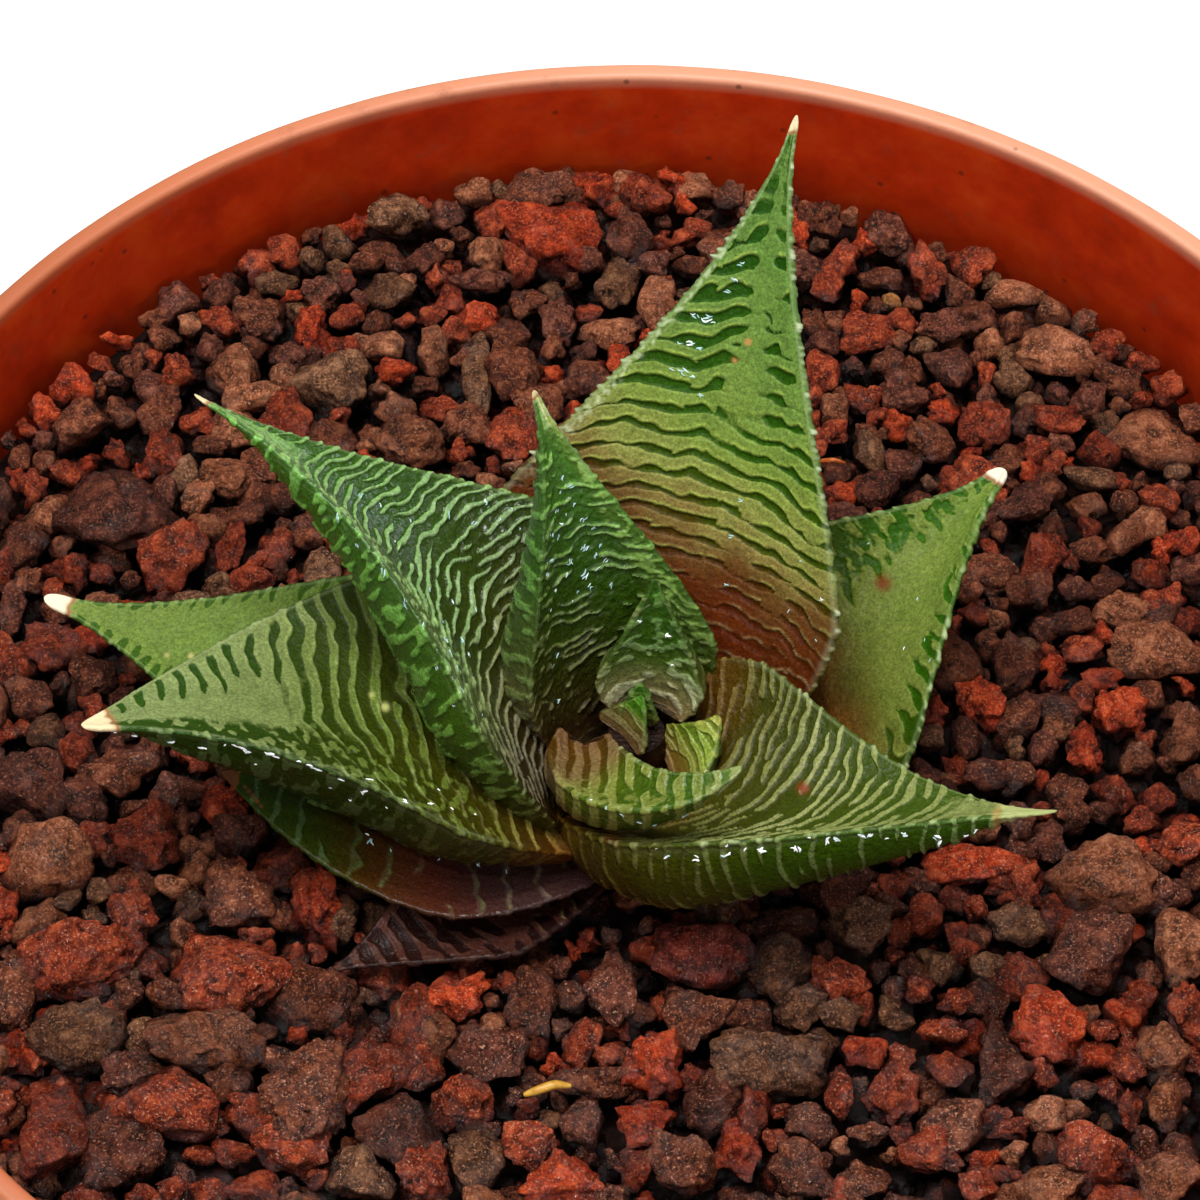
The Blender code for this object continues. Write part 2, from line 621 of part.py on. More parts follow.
def make_stem(name, grow, group):
    """Round stem, thickest just under the leaves, grown outward by a clearance."""
    top = STEM_LEVELS[-1][0] + grow
    foot = STEM_LEVELS[0][0] - grow
    outside = [(radius + grow, z) for z, radius in STEM_LEVELS]
    outside[-1] = (outside[-1][0], top)
    outside[0] = (outside[0][0], foot)
    profile = [(0.0, top)] + outside[::-1] + [(0.0, foot)]
    stem = lathe(name, profile, STEM_SIDES, group)
    stem.location = (HEART[0] * MM, HEART[1] * MM, 0.0)
    return stem


def make_leaves(parts):
    """All leaves, each older one cut back where a younger one or the stem passes."""
    younger = make_collection("leaf_clearances", True)
    make_stem("stem_clearance", GAP, younger)
    leaves = {}
    for name in LEAVES:
        spec = full_spec(name)
        rings = spec["ridges"] * 2 + 1
        leaf = loft(name, leaf_points(spec, rings, True, 0.0), parts)
        subtract(leaf, younger, "MANIFOLD")
        apply_modifiers(leaf)
        keep_largest(leaf)
        leaves[name] = leaf
        clearance = leaf_points(spec, CUTTER_RINGS, False, CUT_GAP + RIDGE_RISE * RIDGE_CLEAR)
        loft(name + "_clearance", clearance, younger)
    return leaves, younger


def main():
    clear_scene()
    parts = make_collection("potted_haworthia", False)
    drains = make_collection("drain_cutters", True)
    pot = make_pot(parts, drains)
    leaves, clearances = make_leaves(parts)
    stem = make_stem("stem", 0.0, parts)
    grit = make_substrate(parts, clearances)
    for group in (drains, clearances):
        for thing in group.objects:
            thing.display_type = "WIRE"
            thing.hide_render = True
    finish(pot, "pot_plastic", POT_LOOK, True)
    finish(grit, "lava_grit", GRIT_LOOK, False)
    finish(stem, "stem_tissue", STEM_LOOK, True)
    for name, leaf in leaves.items():
        look = DRY_LOOK if name == "leaf_dry" else LEAF_LOOK
        finish(leaf, name + "_tissue", look, False)


main()
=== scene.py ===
import math

import bmesh
import bpy
import numpy as np
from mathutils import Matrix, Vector


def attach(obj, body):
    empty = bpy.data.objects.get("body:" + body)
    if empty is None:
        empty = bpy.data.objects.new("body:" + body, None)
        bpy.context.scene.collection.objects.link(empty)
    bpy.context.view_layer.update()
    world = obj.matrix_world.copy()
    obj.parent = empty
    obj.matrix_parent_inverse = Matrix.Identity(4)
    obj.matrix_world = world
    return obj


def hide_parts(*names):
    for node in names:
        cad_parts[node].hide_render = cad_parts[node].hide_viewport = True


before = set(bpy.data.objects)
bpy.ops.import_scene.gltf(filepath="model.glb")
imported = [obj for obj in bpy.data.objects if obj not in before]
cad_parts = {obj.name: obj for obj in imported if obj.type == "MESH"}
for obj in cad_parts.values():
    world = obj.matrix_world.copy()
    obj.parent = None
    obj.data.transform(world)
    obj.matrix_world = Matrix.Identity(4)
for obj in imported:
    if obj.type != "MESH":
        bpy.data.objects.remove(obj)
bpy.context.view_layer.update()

MM = 0.001

# Pot, the same sizes as the solid one, in millimetres.
RIM_RADIUS = 60.0
POT_HEIGHT = 100.0
BAND_HEIGHT = 17.0
BAND_FOOT_RADIUS = 59.3
BODY_TOP_RADIUS = 57.2
BASE_RADIUS = 43.0
FOOT_WIDTH = 3.6
FOOT_RECESS = 2.2
WALL = 1.6
FLOOR = 2.0
FLOOR_TOP = FOOT_RECESS + FLOOR
BAND_FOOT = POT_HEIGHT - BAND_HEIGHT
HOLE_COUNT = 6
HOLE_RADIUS = 4.5
HOLE_CIRCLE = 27.0
HOLE_MARGIN = 8.0
POT_STEPS = 288
PROFILE_STEP = 2.5
CORNER_RADIUS = 0.55
CORNER_STEPS = 4

# Grit surface: height at the centre, climb to the back and fall to the right, reach of the
# middles of the stones at the wall, of their skins at the height of 84, and of the bed,
# and how deep the bed lies under the surface.
GRIT_LEVEL = 87.5
GRIT_BACK_RISE = 0.0010
GRIT_SIDE_FALL = 0.035
WALL_CLEAR = 56.9
STONE_REACH = 57.4
BED_REACH = 57.3
BED_DEPTH = 3.2

# Cells of the map of the leaves over the grit, half of its width, and how high it looks.
ROOF_CELL = 0.8
ROOF_HALF = 64
ROOF_TOP = 101

# Viewpoint that the stones were laid out from, how far it looks down, and its picture:
# focal length, middle, width of its frame and its units to a millimetre at the leaves.
# Places in the picture count from its top left corner.
EYE = (-2.6, -180.8, 339.4)
EYE_DIP = math.radians(52.1)
FOCAL = 4228.0
MIDDLE = 600.0
SENSOR = 36
UNITS_PER_MM = 14.3

# How far the surface under the pot reaches to each side.
FLOOR_REACH = 3000.0

# Centre of the rosette, thickness at a blade's edge, steps round its margin, and points
# along a middle line.
HEART = (0.0, -4.0)
EDGE = 0.375
MARGIN_STEPS = 5
SAMPLES = 200

# Middle lines of the leaves, as in the solids: bearing, seat beside the heart (out,
# across and up), length, rise and roll from root to tip, and sweep. Millimetres, degrees.
LEAF_PATHS = """
leaf              az    r0 side0   z0 length rise0 rise1 sweep sweep_pow roll0 roll1
leaf_heart_back   80   0.5     0 97.5    3.7    79    76     0         1     0     0
leaf_heart_front  40 -1.09 -0.26 97.2    3.7    56    66     0         1     0     0
leaf_inner_back   77   2.2   0.5   98   11.5    84    75    11         1     0     7
leaf_inner_front -99     2   3.5 97.5   19.8    30    32   117         1     0     0
leaf_inner_right   3   2.2   2.8 95.6    6.2    53    51    44         1     0     0
leaf_centre      114   3.2  -0.2 94.8   27.5    73    60    13         1    -4     0
leaf_right_front -54   1.4     0 93.5   33.1    35     7    52       0.7    16   -38
leaf_left_upper  147   3.2  -0.6 94.2   38.4    48    22    12         1     0    39
leaf_back         65   3.4  -2.3 92.9   45.2    48    45     5         1     0    -8
leaf_left        182   4.2   1.5 93.9   36.8    30     6    18         1   -12    24
leaf_right_rear   31   5.1     1 91.2   30.6    27    17    16         1    18   -13
leaf_left_rear   167   4.8   0.3 91.3   40.5     8     6    -7         1   -10   -12
leaf_left_lower  197   3.9     0 90.5   26.5     5    15   -30         1     0     0
leaf_dry         222   5.5     0 88.6     21     6     4   -14         1    -8    -8
"""
# Blades of the leaves, as in the solids: greatest width and where it lies, width at the
# root, run to the tip, place of the keel, thickness, curl from root to tip, blunt tip.
LEAF_BLADES = """
leaf             width peak base shoulder point  keel thick curl0 curl1  tip
leaf_heart_back    2.6  0.2 0.75        1     1     0   1.1    26    18 0.08
leaf_heart_front   4.4 0.12  0.9        1     1     0   1.1    26    14 0.08
leaf_inner_back    7.9 0.23 0.74      1.2   1.3     0   3.3    60    21 0.16
leaf_inner_front   5.4  0.3  0.7      1.5  1.02   0.1   3.1    64    21 0.16
leaf_inner_right   5.6 0.34  0.8      1.2   1.2     0   2.4    39    16 0.16
leaf_centre       15.9 0.22 0.76      1.2  1.54  -0.5     5    61    30 0.16
leaf_right_front  19.8 0.23 0.87      1.2   1.4  0.41   5.9    62    20 0.16
leaf_left_upper     24 0.25 0.83      1.2  1.48 -0.43   5.1    46    23 0.16
leaf_back           28 0.26 0.76      1.2  1.66     0   5.6    31    16 0.16
leaf_left           24 0.31  0.8      1.2  1.04 -0.51   6.4    25    14 0.45
leaf_right_rear     24 0.33 0.75      1.2  1.35     0   4.2    19    56 0.45
leaf_left_rear      19 0.44 0.75      1.2   1.6  -0.5   4.3    29    15  0.4
leaf_left_lower   19.8 0.38 0.75      1.4  1.13     0   3.6    20     9 0.16
leaf_dry            11 0.45 0.75      1.2   1.4     0   1.3    35    30 0.16
"""
LEAVES = {}
for text in (LEAF_PATHS, LEAF_BLADES):
    keys, *rows = (line.split() for line in text.strip().splitlines())
    for row in rows:
        LEAVES.setdefault(row[0], {}).update(zip(keys[1:], map(float, row[1:])))

# How each leaf's ridges run, in millimetres and in shares of the leaf.
# pitch, rise, fill: spacing, height and the share of a pitch that stands proud; fill_tip is
#   that share in the outer half. Names that begin with under hold for the underside.
# bow, slope, wave, forks: curve, slant, waver and forks of the lines; loosen spreads them
#   in the outer half, upright sets them along the picture's columns, through runs them on
#   round the underside.
# gaps, broken: how seldom a groove is filled and a ridge breaks off. lip: its pale crest.
# strip: smooth strip, as its middle, where it begins, where it is full and its half width.
# hem, verge: smooth margins at the right, and at the left and the right.
# calm: where the ridges fade into grain. root: where they begin.
# mottle, knots: low nodules in place of ridges, towards the left or all over.
# band: pale nodules along one side. crust, teeth: pale crumbs on the left and the right
#   margin and their tooth height. rough: fine pebbles. wet: gloss above and below.
RIDGES = dict(pitch=1.45, rise=0.22, fill=0.5, bow=0.0, slope=0.0, wave=0.6, forks=8,
              strip=None, under_pitch=1.6, under_rise=0.2, under_fill=0.45, under_slope=0.0,
              under_knots=None, teeth=(0.14, 0.14), root=(0.0, 0.1), hem=None, fill_tip=None,
              loosen=0.0, through=False, verge=None, upright=False, mottle=None, band=None,
              calm=None, crust=(0.0, 0.0), rough=0.02, wet=(0.5, 0.8), gaps=0.45, broken=0.6,
              lip=0.3)
RIDGE_LOOKS = {
    "leaf_heart_back": dict(pitch=1.0, rise=0.04, forks=0, wave=0.3, teeth=(0.02, 0.02), seed=2),
    "leaf_heart_front": dict(pitch=1.1, rise=0.04, forks=0, wave=0.3, teeth=(0.02, 0.02), seed=3),
    "leaf_inner_back": dict(pitch=1.1, rise=0.12, forks=2, wave=0.5, seed=4,
                            fill=0.45, bow=1.6, strip=(0.0, 0.6, 0.9, 0.35), broken=0.2,
                            mottle=(-1.2, -1.0), rough=0.05, wet=(0.7, 0.9)),
    "leaf_inner_front": dict(pitch=1.2, rise=0.14, forks=0, wave=0.35, teeth=(0.1, 0.0),
                             seed=5, fill=0.62, broken=0.6, gaps=0.9, upright=True,
                             root=(-0.2, 0.0), through=True, under_rise=0.14,
                             band=(1, -0.6, 0.9, 0.0), rough=0.05, wet=(0.7, 0.9)),
    "leaf_inner_right": dict(pitch=0.9, rise=0.12, forks=1, wave=0.4, seed=6,
                             fill=0.6, broken=0.5, gaps=0.5),
    "leaf_centre": dict(pitch=0.95, rise=0.17, forks=14, fill=0.34, wave=1.4, seed=7, bow=1.3,
                        strip=(0.0, 0.82, 0.95, 0.8), broken=0.15, gaps=2.0,
                        under_knots=(1.1, 0.8), under_rise=0.24,
                        mottle=(0.45, 0.8), rough=0.07, band=(1, 0.5, 0.8, 0.8),
                        wet=(0.9, 0.95), teeth=(0.03, 0.1)),
    "leaf_right_front": dict(pitch=1.12, rise=0.18, forks=8, fill=0.44, bow=2.0, slope=0.4,
                             wave=0.9, seed=8, strip=(-0.1, 0.66, 0.92, 0.8), broken=0.4,
                             gaps=2.0, under_pitch=1.2, under_rise=0.22, under_fill=0.3,
                             under_slope=-0.45, wet=(0.5, 0.95), teeth=(0.2, 0.14),
                             rough=0.05),
    "leaf_left_upper": dict(pitch=0.98, rise=0.2, forks=12, fill=0.38, bow=4.2, slope=-0.1,
                            wave=1.0, seed=9, strip=(-0.3, 0.66, 0.92, 0.9), broken=0.55,
                            gaps=2.0, under_knots=(1.5, 0.75), under_rise=0.26,
                            mottle=(0.3, 0.75), rough=0.07, band=(-1, 0.35, 0.8, 0.6),
                            wet=(0.95, 0.9), teeth=(0.03, 0.14)),
    "leaf_back": dict(pitch=1.42, rise=0.22, forks=9, fill=0.72, bow=1.7, slope=-0.1,
                      fill_tip=0.5, loosen=0.1, wave=0.6, seed=10,
                      calm=(0.76, 0.9), crust=(0.75, 0.0),
                      strip=(0.27, 0.42, 0.6, 0.25),
                      verge=(0.93, 0.9), broken=2.0, gaps=0.4, teeth=(0.4, 0.24),
                      root=(0.06, 0.36), wet=(0.5, 0.5)),
    "leaf_left": dict(pitch=1.6, rise=0.16, forks=4, fill=0.44, bow=0.4, slope=-0.1,
                      wave=0.7, seed=11, strip=(-0.3, 0.5, 0.66, 0.64), gaps=0.7,
                      broken=2.0, crust=(0.35, 0.0),
                      hem=(0.5, 0.66, 0.94), fill_tip=0.66, mottle=(0.15, 0.6),
                      under_knots=(1.3, 0.7), under_rise=0.14,
                      teeth=(0.04, 0.08), wet=(0.35, 0.95)),
    "leaf_right_rear": dict(pitch=1.35, rise=0.2, forks=4, fill=0.6, bow=-0.8, slope=0.25,
                            wave=0.9, seed=12, strip=(0.28, -0.3, 0.0, 0.5), gaps=0.5,
                            mottle=(0.2, 0.5), rough=0.05, wet=(0.5, 0.8)),
    "leaf_left_rear": dict(pitch=1.05, rise=0.07, forks=5, fill=0.5, wave=0.9, seed=13,
                           strip=(0.14, -0.2, 0.1, 0.76), gaps=0.6,
                           under_knots=(1.2, 0.8), wet=(0.2, 0.5),
                           teeth=(0.05, 0.06)),
    "leaf_left_lower": dict(pitch=1.9, rise=0.14, forks=3, fill=0.24, wave=0.5, seed=14,
                            teeth=(0.04, 0.04), broken=0.4, gaps=2.0, lip=0.0,
                            wet=(1.0, 1.0)),
    "leaf_dry": dict(pitch=1.3, rise=0.16, forks=4, fill=0.45, wave=0.5, seed=15, teeth=(0.0, 0.0)),
}

# Colours run from root to tip, as places and sRGB hex codes. Under each leaf the
# second pair holds. slant tilts the runs across the leaf, dry_from is where the horny
# tip begins, coat and shine are the wet film and the gloss below it.
GREEN = dict(
    groove="0 4a200c, 0.14 3c2c0a, 0.3 2c4406, 0.6 28520a, 1 3a5c14",
    crest="0 6c4a24, 0.14 746c34, 0.3 74883c, 0.6 6c8840, 1 7a9048",
    under="0 4c280c, 0.2 3c4006, 0.5 2a480a, 1 345410",
    under_crest="0 5c3c1c, 0.2 50541c, 0.5 48602c, 1 50702c", line="a4b468", line_root="8c7c50",
    rim="b4c48c", border="9a5426", dry_from=0.965, dry="e8d2a0", slant=0.0, coat=0.05, shine=0.16,
    blotch=0.3)
LEAF_LOOKS = {
    "leaf_heart_back": dict(
        groove="0 3a2c10, 0.4 3c5010, 1 2f6410", crest="0 5c4a20, 0.4 5c7424, 1 4f8420", dry_from=1.2,
        coat=0.35, shine=0.3),
    "leaf_heart_front": dict(
        groove="0 543c20, 0.5 5c5420, 0.66 3c640c, 1 347010",
        crest="0 6c543c, 0.5 74743c, 0.66 4c7c14, 1 448818", dry_from=1.2, rim="a8a870", coat=0.35,
        shine=0.3),
    "leaf_inner_back": dict(
        groove="0 786440, 0.2 80804c, 0.36 4a641c, 0.5 34560c, 1 2c5c0e",
        crest="0 b0a480, 0.2 bcc094, 0.36 94ac6c, 0.5 78985a, 1 548828", dry_from=1.2, rim="a4a86c",
        line="b0b898", coat=0.4, shine=0.3),
    "leaf_inner_front": dict(
        groove="0 543408, 0.25 4e380a, 0.42 455808, 0.8 345609, 1 5a742f",
        crest="0 846040, 0.25 846c42, 0.42 848a3d, 0.8 738036, 1 8c9558",
        under="0 4c3410, 0.3 3c4c0c, 1 305010", dry_from=1.2, coat=0.35, shine=0.3),
    "leaf_inner_right": dict(
        groove="0 6c481c, 0.3 645c18, 0.6 607a1c, 1 6c7020",
        crest="0 80603c, 0.3 848438, 0.6 88a03c, 1 a8a84c", dry_from=1.2, rim="c0a84c", coat=0.35,
        shine=0.3),
    "leaf_centre": dict(
        groove="0 302009, 0.3 2c3c06, 0.6 2c5406, 0.8 3c6c12, 0.93 5a8028, 1 a3b053",
        crest="0 645439, 0.3 6a7a40, 0.6 749e46, 0.8 78a84a, 0.93 96b46c, 1 d3d798",
        under="0 4c3420, 0.2 3c441a, 0.5 2a500c, 0.8 3c641c, 1 8c9c6c",
        under_crest="0 5c4c30, 0.2 5c7038, 0.5 5c8c3c, 0.8 64904c, 1 a8ac84", line="98ac80", rim="88ac50",
        dry_from=0.985, slant=0.1, coat=0.4, shine=0.3),
    "leaf_right_front": dict(
        groove="0 4c2604, 0.14 4a3406, 0.25 363804, 0.4 363e08, 0.6 364808, 0.85 3c5412, 1 5a6a24",
        crest="0 68401a, 0.14 6c5424, 0.22 64602a, 0.34 70743a, 0.44 8e925a, "
              "0.58 848c4c, 0.85 7c864a, 1 9a9858",
        under="0 5a3c10, 0.25 45450a, 0.5 365208, 1 33580f",
        under_crest="0 766024, 0.25 6c6830, 0.5 6a8042, 1 64844a", dry_from=0.88, dry="a8b070",
        border="a48c4c", line="90985c", coat=0.1, shine=0.15),
    "leaf_left_upper": dict(
        groove="0 2a1b09, 0.12 282009, 0.32 2a3206, 0.6 2a4907, 1 39640e",
        crest="0 5c4c38, 0.12 6c6850, 0.26 7a7c52, 0.4 82a468, 0.6 82ac62, 1 709c43",
        under="0 333009, 0.3 355209, 0.6 2b5a09, 1 3a6e0e",
        under_crest="0 605f2e, 0.3 68943c, 0.6 6ca844, 1 6aac40", line="a4b488", rim="a0c070",
        dry_from=0.975, coat=0.4, shine=0.3),
    "leaf_back": dict(
        groove="0 481804, 0.16 4c1a04, 0.27 441c04, 0.32 442c04, 0.37 384604, "
               "0.5 2a4e06, 0.8 1e4606, 1 365a14",
        crest="0 4c1c06, 0.16 5a2206, 0.26 56280c, 0.31 644420, 0.35 80703a, "
              "0.4 868a44, 0.48 788c3a, 0.6 6a863a, 0.8 608238, 1 5f7c38",
        slant=0.055, line_root="b89868", dry_from=0.972, dry="e6d8b0", line="a8bc50", rim="c8d4ac",
        coat=0.03, shine=0.07),
    "leaf_left": dict(
        groove="0 4a2406, 0.1 402c06, 0.22 363203, 0.45 2c3703, 0.7 243e05, 1 2c4e0e",
        crest="0 94602a, 0.1 7c6c30, 0.22 5f6a26, 0.45 596c25, 0.64 748248, 0.8 7c8c52, 1 82905a",
        under="0 6c3c14, 0.2 3c400a, 0.5 243c08, 1 284810",
        under_crest="0 7c5420, 0.2 50561c, 0.5 495f31, 1 4d6d35", line="90a05c", coat=0.1, shine=0.12,
        dry_from=0.942, dry="ecd8ac", slant=0.03),
    "leaf_right_rear": dict(
        groove="0 5c2404, 0.3 4c2806, 0.4 343404, 0.49 2c4405, 0.6 285004, 1 386414",
        crest="0 70380e, 0.32 6c3a10, 0.4 584618, 0.49 66702c, 0.6 6a7832, 1 6c8436", dry_from=0.96,
        dry="f0e4cc", slant=0.14, line="90a450", shine=0.07),
    "leaf_left_rear": dict(
        groove="0 455607, 0.3 3a5a09, 0.7 365611, 1 3a5a14",
        crest="0 60742a, 0.3 6a8836, 0.7 688034, 1 70843a", under="0 2c400c, 0.5 2c440c, 1 305010",
        line="789048", shine=0.07, dry_from=0.952, dry="f0e4c4"),
    "leaf_left_lower": dict(
        groove="0 34201c, 0.25 3e2826, 0.45 4c2216, 0.6 3e2606, 0.75 2c3806, 1 2e450b",
        crest="0 4c3a3c, 0.25 4c383c, 0.45 5c3424, 0.6 4a3c18, 0.75 44582c, 1 506c3a",
        under="0 20100e, 0.5 2c1c0c, 0.65 283c0c, 1 2c480c",
        under_crest="0 20100e, 0.5 2c1c0c, 0.65 283c0c, 1 2c480c", dry_from=0.955, dry="7a4a2c",
        rim="50381a", line="4c6034", coat=0.25, shine=0.15),
    "leaf_dry": dict(
        groove="0 1a0a08, 1 220e0a", crest="0 341814, 1 48281e", under="0 1c1010, 1 2a1a1a",
        under_crest="0 2a1a1a, 1 38241e", rim="3c241c", line="4c3026", dry_from=1.2, coat=0.1, shine=0.1),
}

# Small marks on the leaves: their colour, then the picture place, radius and strength of each.
MARKS = {
    "leaf_back": ("c08850", ((748, 342, 2.8, 1.0), (735, 360, 2.4, 0.8), (648, 607, 2.6, 0.8))),
    "leaf_right_front": ("7a3418", ((803, 788, 5.0, 1.0), (612, 836, 7.0, 0.5))),
    "leaf_right_rear": ("6a3010", ((883, 583, 7.0, 0.9),)),
    "leaf_left": ("c4c878", ((385, 707, 3.4, 0.9), (372, 695, 2.6, 0.6), (190, 655, 2.5, 0.7))),
    "leaf_left_rear": ("b8b070", ((191, 656, 2.4, 1.0), (167, 655, 2.2, 0.7))),
    "leaf_left_lower": ("8a5030", ((245, 787, 1.6, 1.0), (249, 791, 1.8, 1.0), (253, 796, 2.0, 0.9),
                                   (257, 801, 1.8, 1.0), (261, 806, 1.6, 0.8))),
}

# Stones that can be told apart: picture place, width, height and kind.
# r brick red, x bright orange red, b brown, p purple brown, g grey brown,
# t tan, c crimson brown, y straw.
STONES = """
222 316 45 35 r, 122 341 30 14 x, 163 335 40 40 b, 309 323 45 50 x, 78 418 60 60 b,
161 407 45 60 b, 233 367 55 60 t, 335 380 90 70 g, 375 343 50 30 t, 118 380 30 20 p,
166 450 40 50 r, 112 498 110 90 p, 166 552 80 85 r, 225 474 60 50 t, 228 552 35 60 r,
214 445 40 25 b, 284 495 50 40 b, 241 514 55 30 b, 21 455 30 35 b, 67 471 40 40 r,
24 541 60 60 b, 102 600 45 30 t, 51 648 60 50 r, 13 608 30 60 p, 91 675 50 50 b,
254 581 60 30 r, 187 600 40 20 g, 29 696 50 40 b, 402 434 60 60 p, 198 418 40 40 r,
249 391 60 40 t, 308 533 50 40 b, 337 418 30 25 r, 399 209 75 55 g, 449 209 40 40 p,
523 153 70 45 b, 621 140 38 45 t, 694 150 50 35 t, 644 190 60 60 r, 548 223 105 85 x,
495 216 40 55 r, 691 229 45 35 r, 625 229 50 55 p, 615 282 50 60 g, 654 296 40 60 t,
608 329 65 35 t, 588 375 65 45 b, 482 316 55 40 x, 472 276 45 30 p, 425 256 35 35 p,
445 246 25 25 t, 392 289 50 40 g, 366 259 45 25 b, 273 282 50 30 g, 525 299 40 40 b,
558 316 35 60 p, 479 382 35 95 g, 518 362 55 65 b, 386 345 50 35 t, 432 349 40 45 t,
412 442 85 60 t, 508 432 55 70 r, 439 408 40 30 r, 406 319 25 20 r, 697 266 40 25 b,
346 312 40 30 r, 820 212 45 50 b, 895 220 50 55 p, 842 257 40 40 r, 828 279 40 50 r,
930 268 40 55 r, 882 276 50 25 b, 1016 287 65 30 t, 868 332 65 50 r, 941 321 60 45 p,
1050 351 105 50 t, 825 370 40 50 r, 906 394 60 50 p, 951 364 50 50 p, 986 375 20 35 r,
1120 378 60 40 b, 1166 388 40 40 r, 1152 437 100 65 t, 1059 418 60 40 r, 984 426 50 60 r,
930 439 60 50 b, 871 447 35 50 g, 876 485 50 45 p, 1034 447 40 40 r, 1088 477 60 25 g,
1085 506 45 35 t, 1026 504 60 40 p, 1147 522 40 35 t, 828 434 40 30 r, 834 469 40 30 b,
812 321 30 35 b, 996 573 60 40 b, 1042 556 50 60 r, 1092 553 50 30 b, 1149 569 40 35 r,
996 622 30 25 t, 976 613 40 30 r, 1125 613 60 40 t, 1152 652 100 60 t, 1016 666 55 60 b,
1076 622 45 30 b, 1099 679 45 30 x, 1115 712 60 60 x, 1086 748 45 60 x, 1135 758 45 40 t,
1059 705 50 40 p, 966 735 35 50 p, 986 772 50 35 p, 1016 772 45 40 b, 1066 791 50 45 b,
1188 735 50 60 t, 1142 818 45 30 r, 1182 841 55 50 r, 1112 874 110 70 t, 1049 845 60 45 p,
966 864 90 40 x, 926 914 45 40 r, 973 907 30 35 r, 1016 927 60 40 g, 1092 951 90 80 p,
1178 934 70 80 t, 1022 980 60 40 r, 983 964 35 30 g, 29 784 80 80 p, 114 772 80 50 b,
53 857 90 80 t, 150 834 75 70 r, 176 884 35 25 t, 132 916 50 55 r, 235 892 80 65 b,
76 960 110 95 r, 223 966 120 75 r, 317 904 55 65 x, 340 922 40 45 g, 314 998 100 70 b,
15 990 45 90 b, 79 1042 90 70 g, 202 1036 100 80 t, 173 1101 100 80 r, 311 1086 85 100 b,
367 1069 90 75 r, 417 1022 60 80 r, 59 1130 85 100 r, 126 1145 90 80 p, 249 1110 50 50 r,
282 1142 75 55 r, 396 1124 80 70 p, 232 1151 45 30 r, 358 1174 70 50 g, 258 1189 60 30 r,
205 1189 40 35 r, 422 1174 50 50 r, 467 955 50 55 r, 532 944 65 60 b, 448 992 70 50 x,
529 1003 65 60 b, 613 992 48 65 p, 709 953 100 75 c, 782 964 70 60 g, 692 1014 75 60 b,
759 1059 110 80 g, 658 1056 60 70 x, 580 1042 45 45 r, 425 1028 60 60 t, 487 1051 70 65 p,
596 1082 90 40 b, 467 1098 75 60 r, 703 1104 60 60 p, 647 1121 60 50 x, 582 1121 50 55 p,
532 1141 60 45 r, 751 1118 40 50 r, 734 1152 50 50 x, 479 1157 55 60 g, 568 1180 85 50 x,
686 1163 75 65 b, 636 1169 45 35 r, 798 1166 70 60 b, 807 1121 55 35 b, 425 1171 60 55 r,
798 1006 60 45 g, 829 981 40 40 r, 585 895 70 70 b, 861 927 70 55 g, 836 976 50 40 r,
920 988 35 25 r, 956 999 40 30 r, 892 1016 40 35 g, 838 1014 45 35 g, 940 1029 45 30 r,
864 1050 50 35 x, 902 1057 30 35 r, 1045 1024 80 70 x, 1004 1070 60 65 p, 950 1070 50 40 r,
887 1093 55 50 r, 838 1095 35 50 r, 958 1123 70 60 b, 1103 1029 35 30 r, 1162 1050 60 60 t,
1188 1006 50 50 r, 1129 1065 42 40 r, 1132 1106 30 45 r, 1165 1106 40 50 t,
1047 1111 50 35 t, 1088 1157 80 60 r, 1014 1129 40 25 r, 818 1126 45 45 p, 869 1134 40 25 b,
1165 1175 65 60 t, 928 1152 70 50 r, 859 1175 50 40 b, 813 1164 45 45 p, 1053 1185 65 45 t,
976 1182 50 40 r, 1012 1175 30 25 r, 891 300 28 18 y
"""
# For each kind its piece, body, hollow and crest colours, roughness and how crumbly it is.
GRIT_KINDS = {
    "r": ("grit_red", "843a24", "34120a", "c07050", 0.55, 1.15),
    "x": ("grit_bright", "a8401e", "4c1808", "d87a50", 0.5, 1.5),
    "b": ("grit_brown", "663626", "26120c", "a46c52", 0.5, 1.0),
    "p": ("grit_purple", "5c322a", "200f0d", "986252", 0.45, 0.95),
    "g": ("grit_grey", "6c4c3a", "281a12", "a8866c", 0.55, 0.9),
    "t": ("grit_tan", "945c44", "3c2214", "c8967a", 0.6, 0.75),
    "c": ("grit_crimson", "843430", "3c1010", "b86458", 0.4, 1.1),
    "y": ("grit_straw", "c09050", "6a4018", "e0b878", 0.5, 0.4),
}
# Kinds of the small stones between the others, by share, and tries at placing them, of
# which the first ones are for the larger of them.
FILL_MIX = "rrrrbbbppgtx"
FILL_TRIES = 20000
LARGE_TRIES = 9000
# Planes that break a stone.
STONE_FACES = 15
# Most triangles in one piece of grit.
PIECE_LIMIT = 180000


def linear(code):
    """sRGB hex as linear colour."""
    out = []
    for i in (0, 2, 4):
        c = int(code[i:i + 2], 16) / 255
        out.append(c / 12.92 if c <= 0.04045 else ((c + 0.055) / 1.055) ** 2.4)
    return (*out, 1.0)


def warmed(code, gain):
    """A grit colour with its green and blue held back."""
    return tuple(a * b for a, b in zip(linear(code), gain)) + (1.0,)


def ease(low, high, x):
    """Smooth step from 0 at low to 1 at high."""
    x = np.clip((x - low) / (high - low), 0, 1)
    return x * x * (3 - 2 * x)


def beyond(edge, soft, x):
    """0 below an edge and 1 above it, over a soft width on both sides."""
    return ease(edge - soft, edge + soft, x)


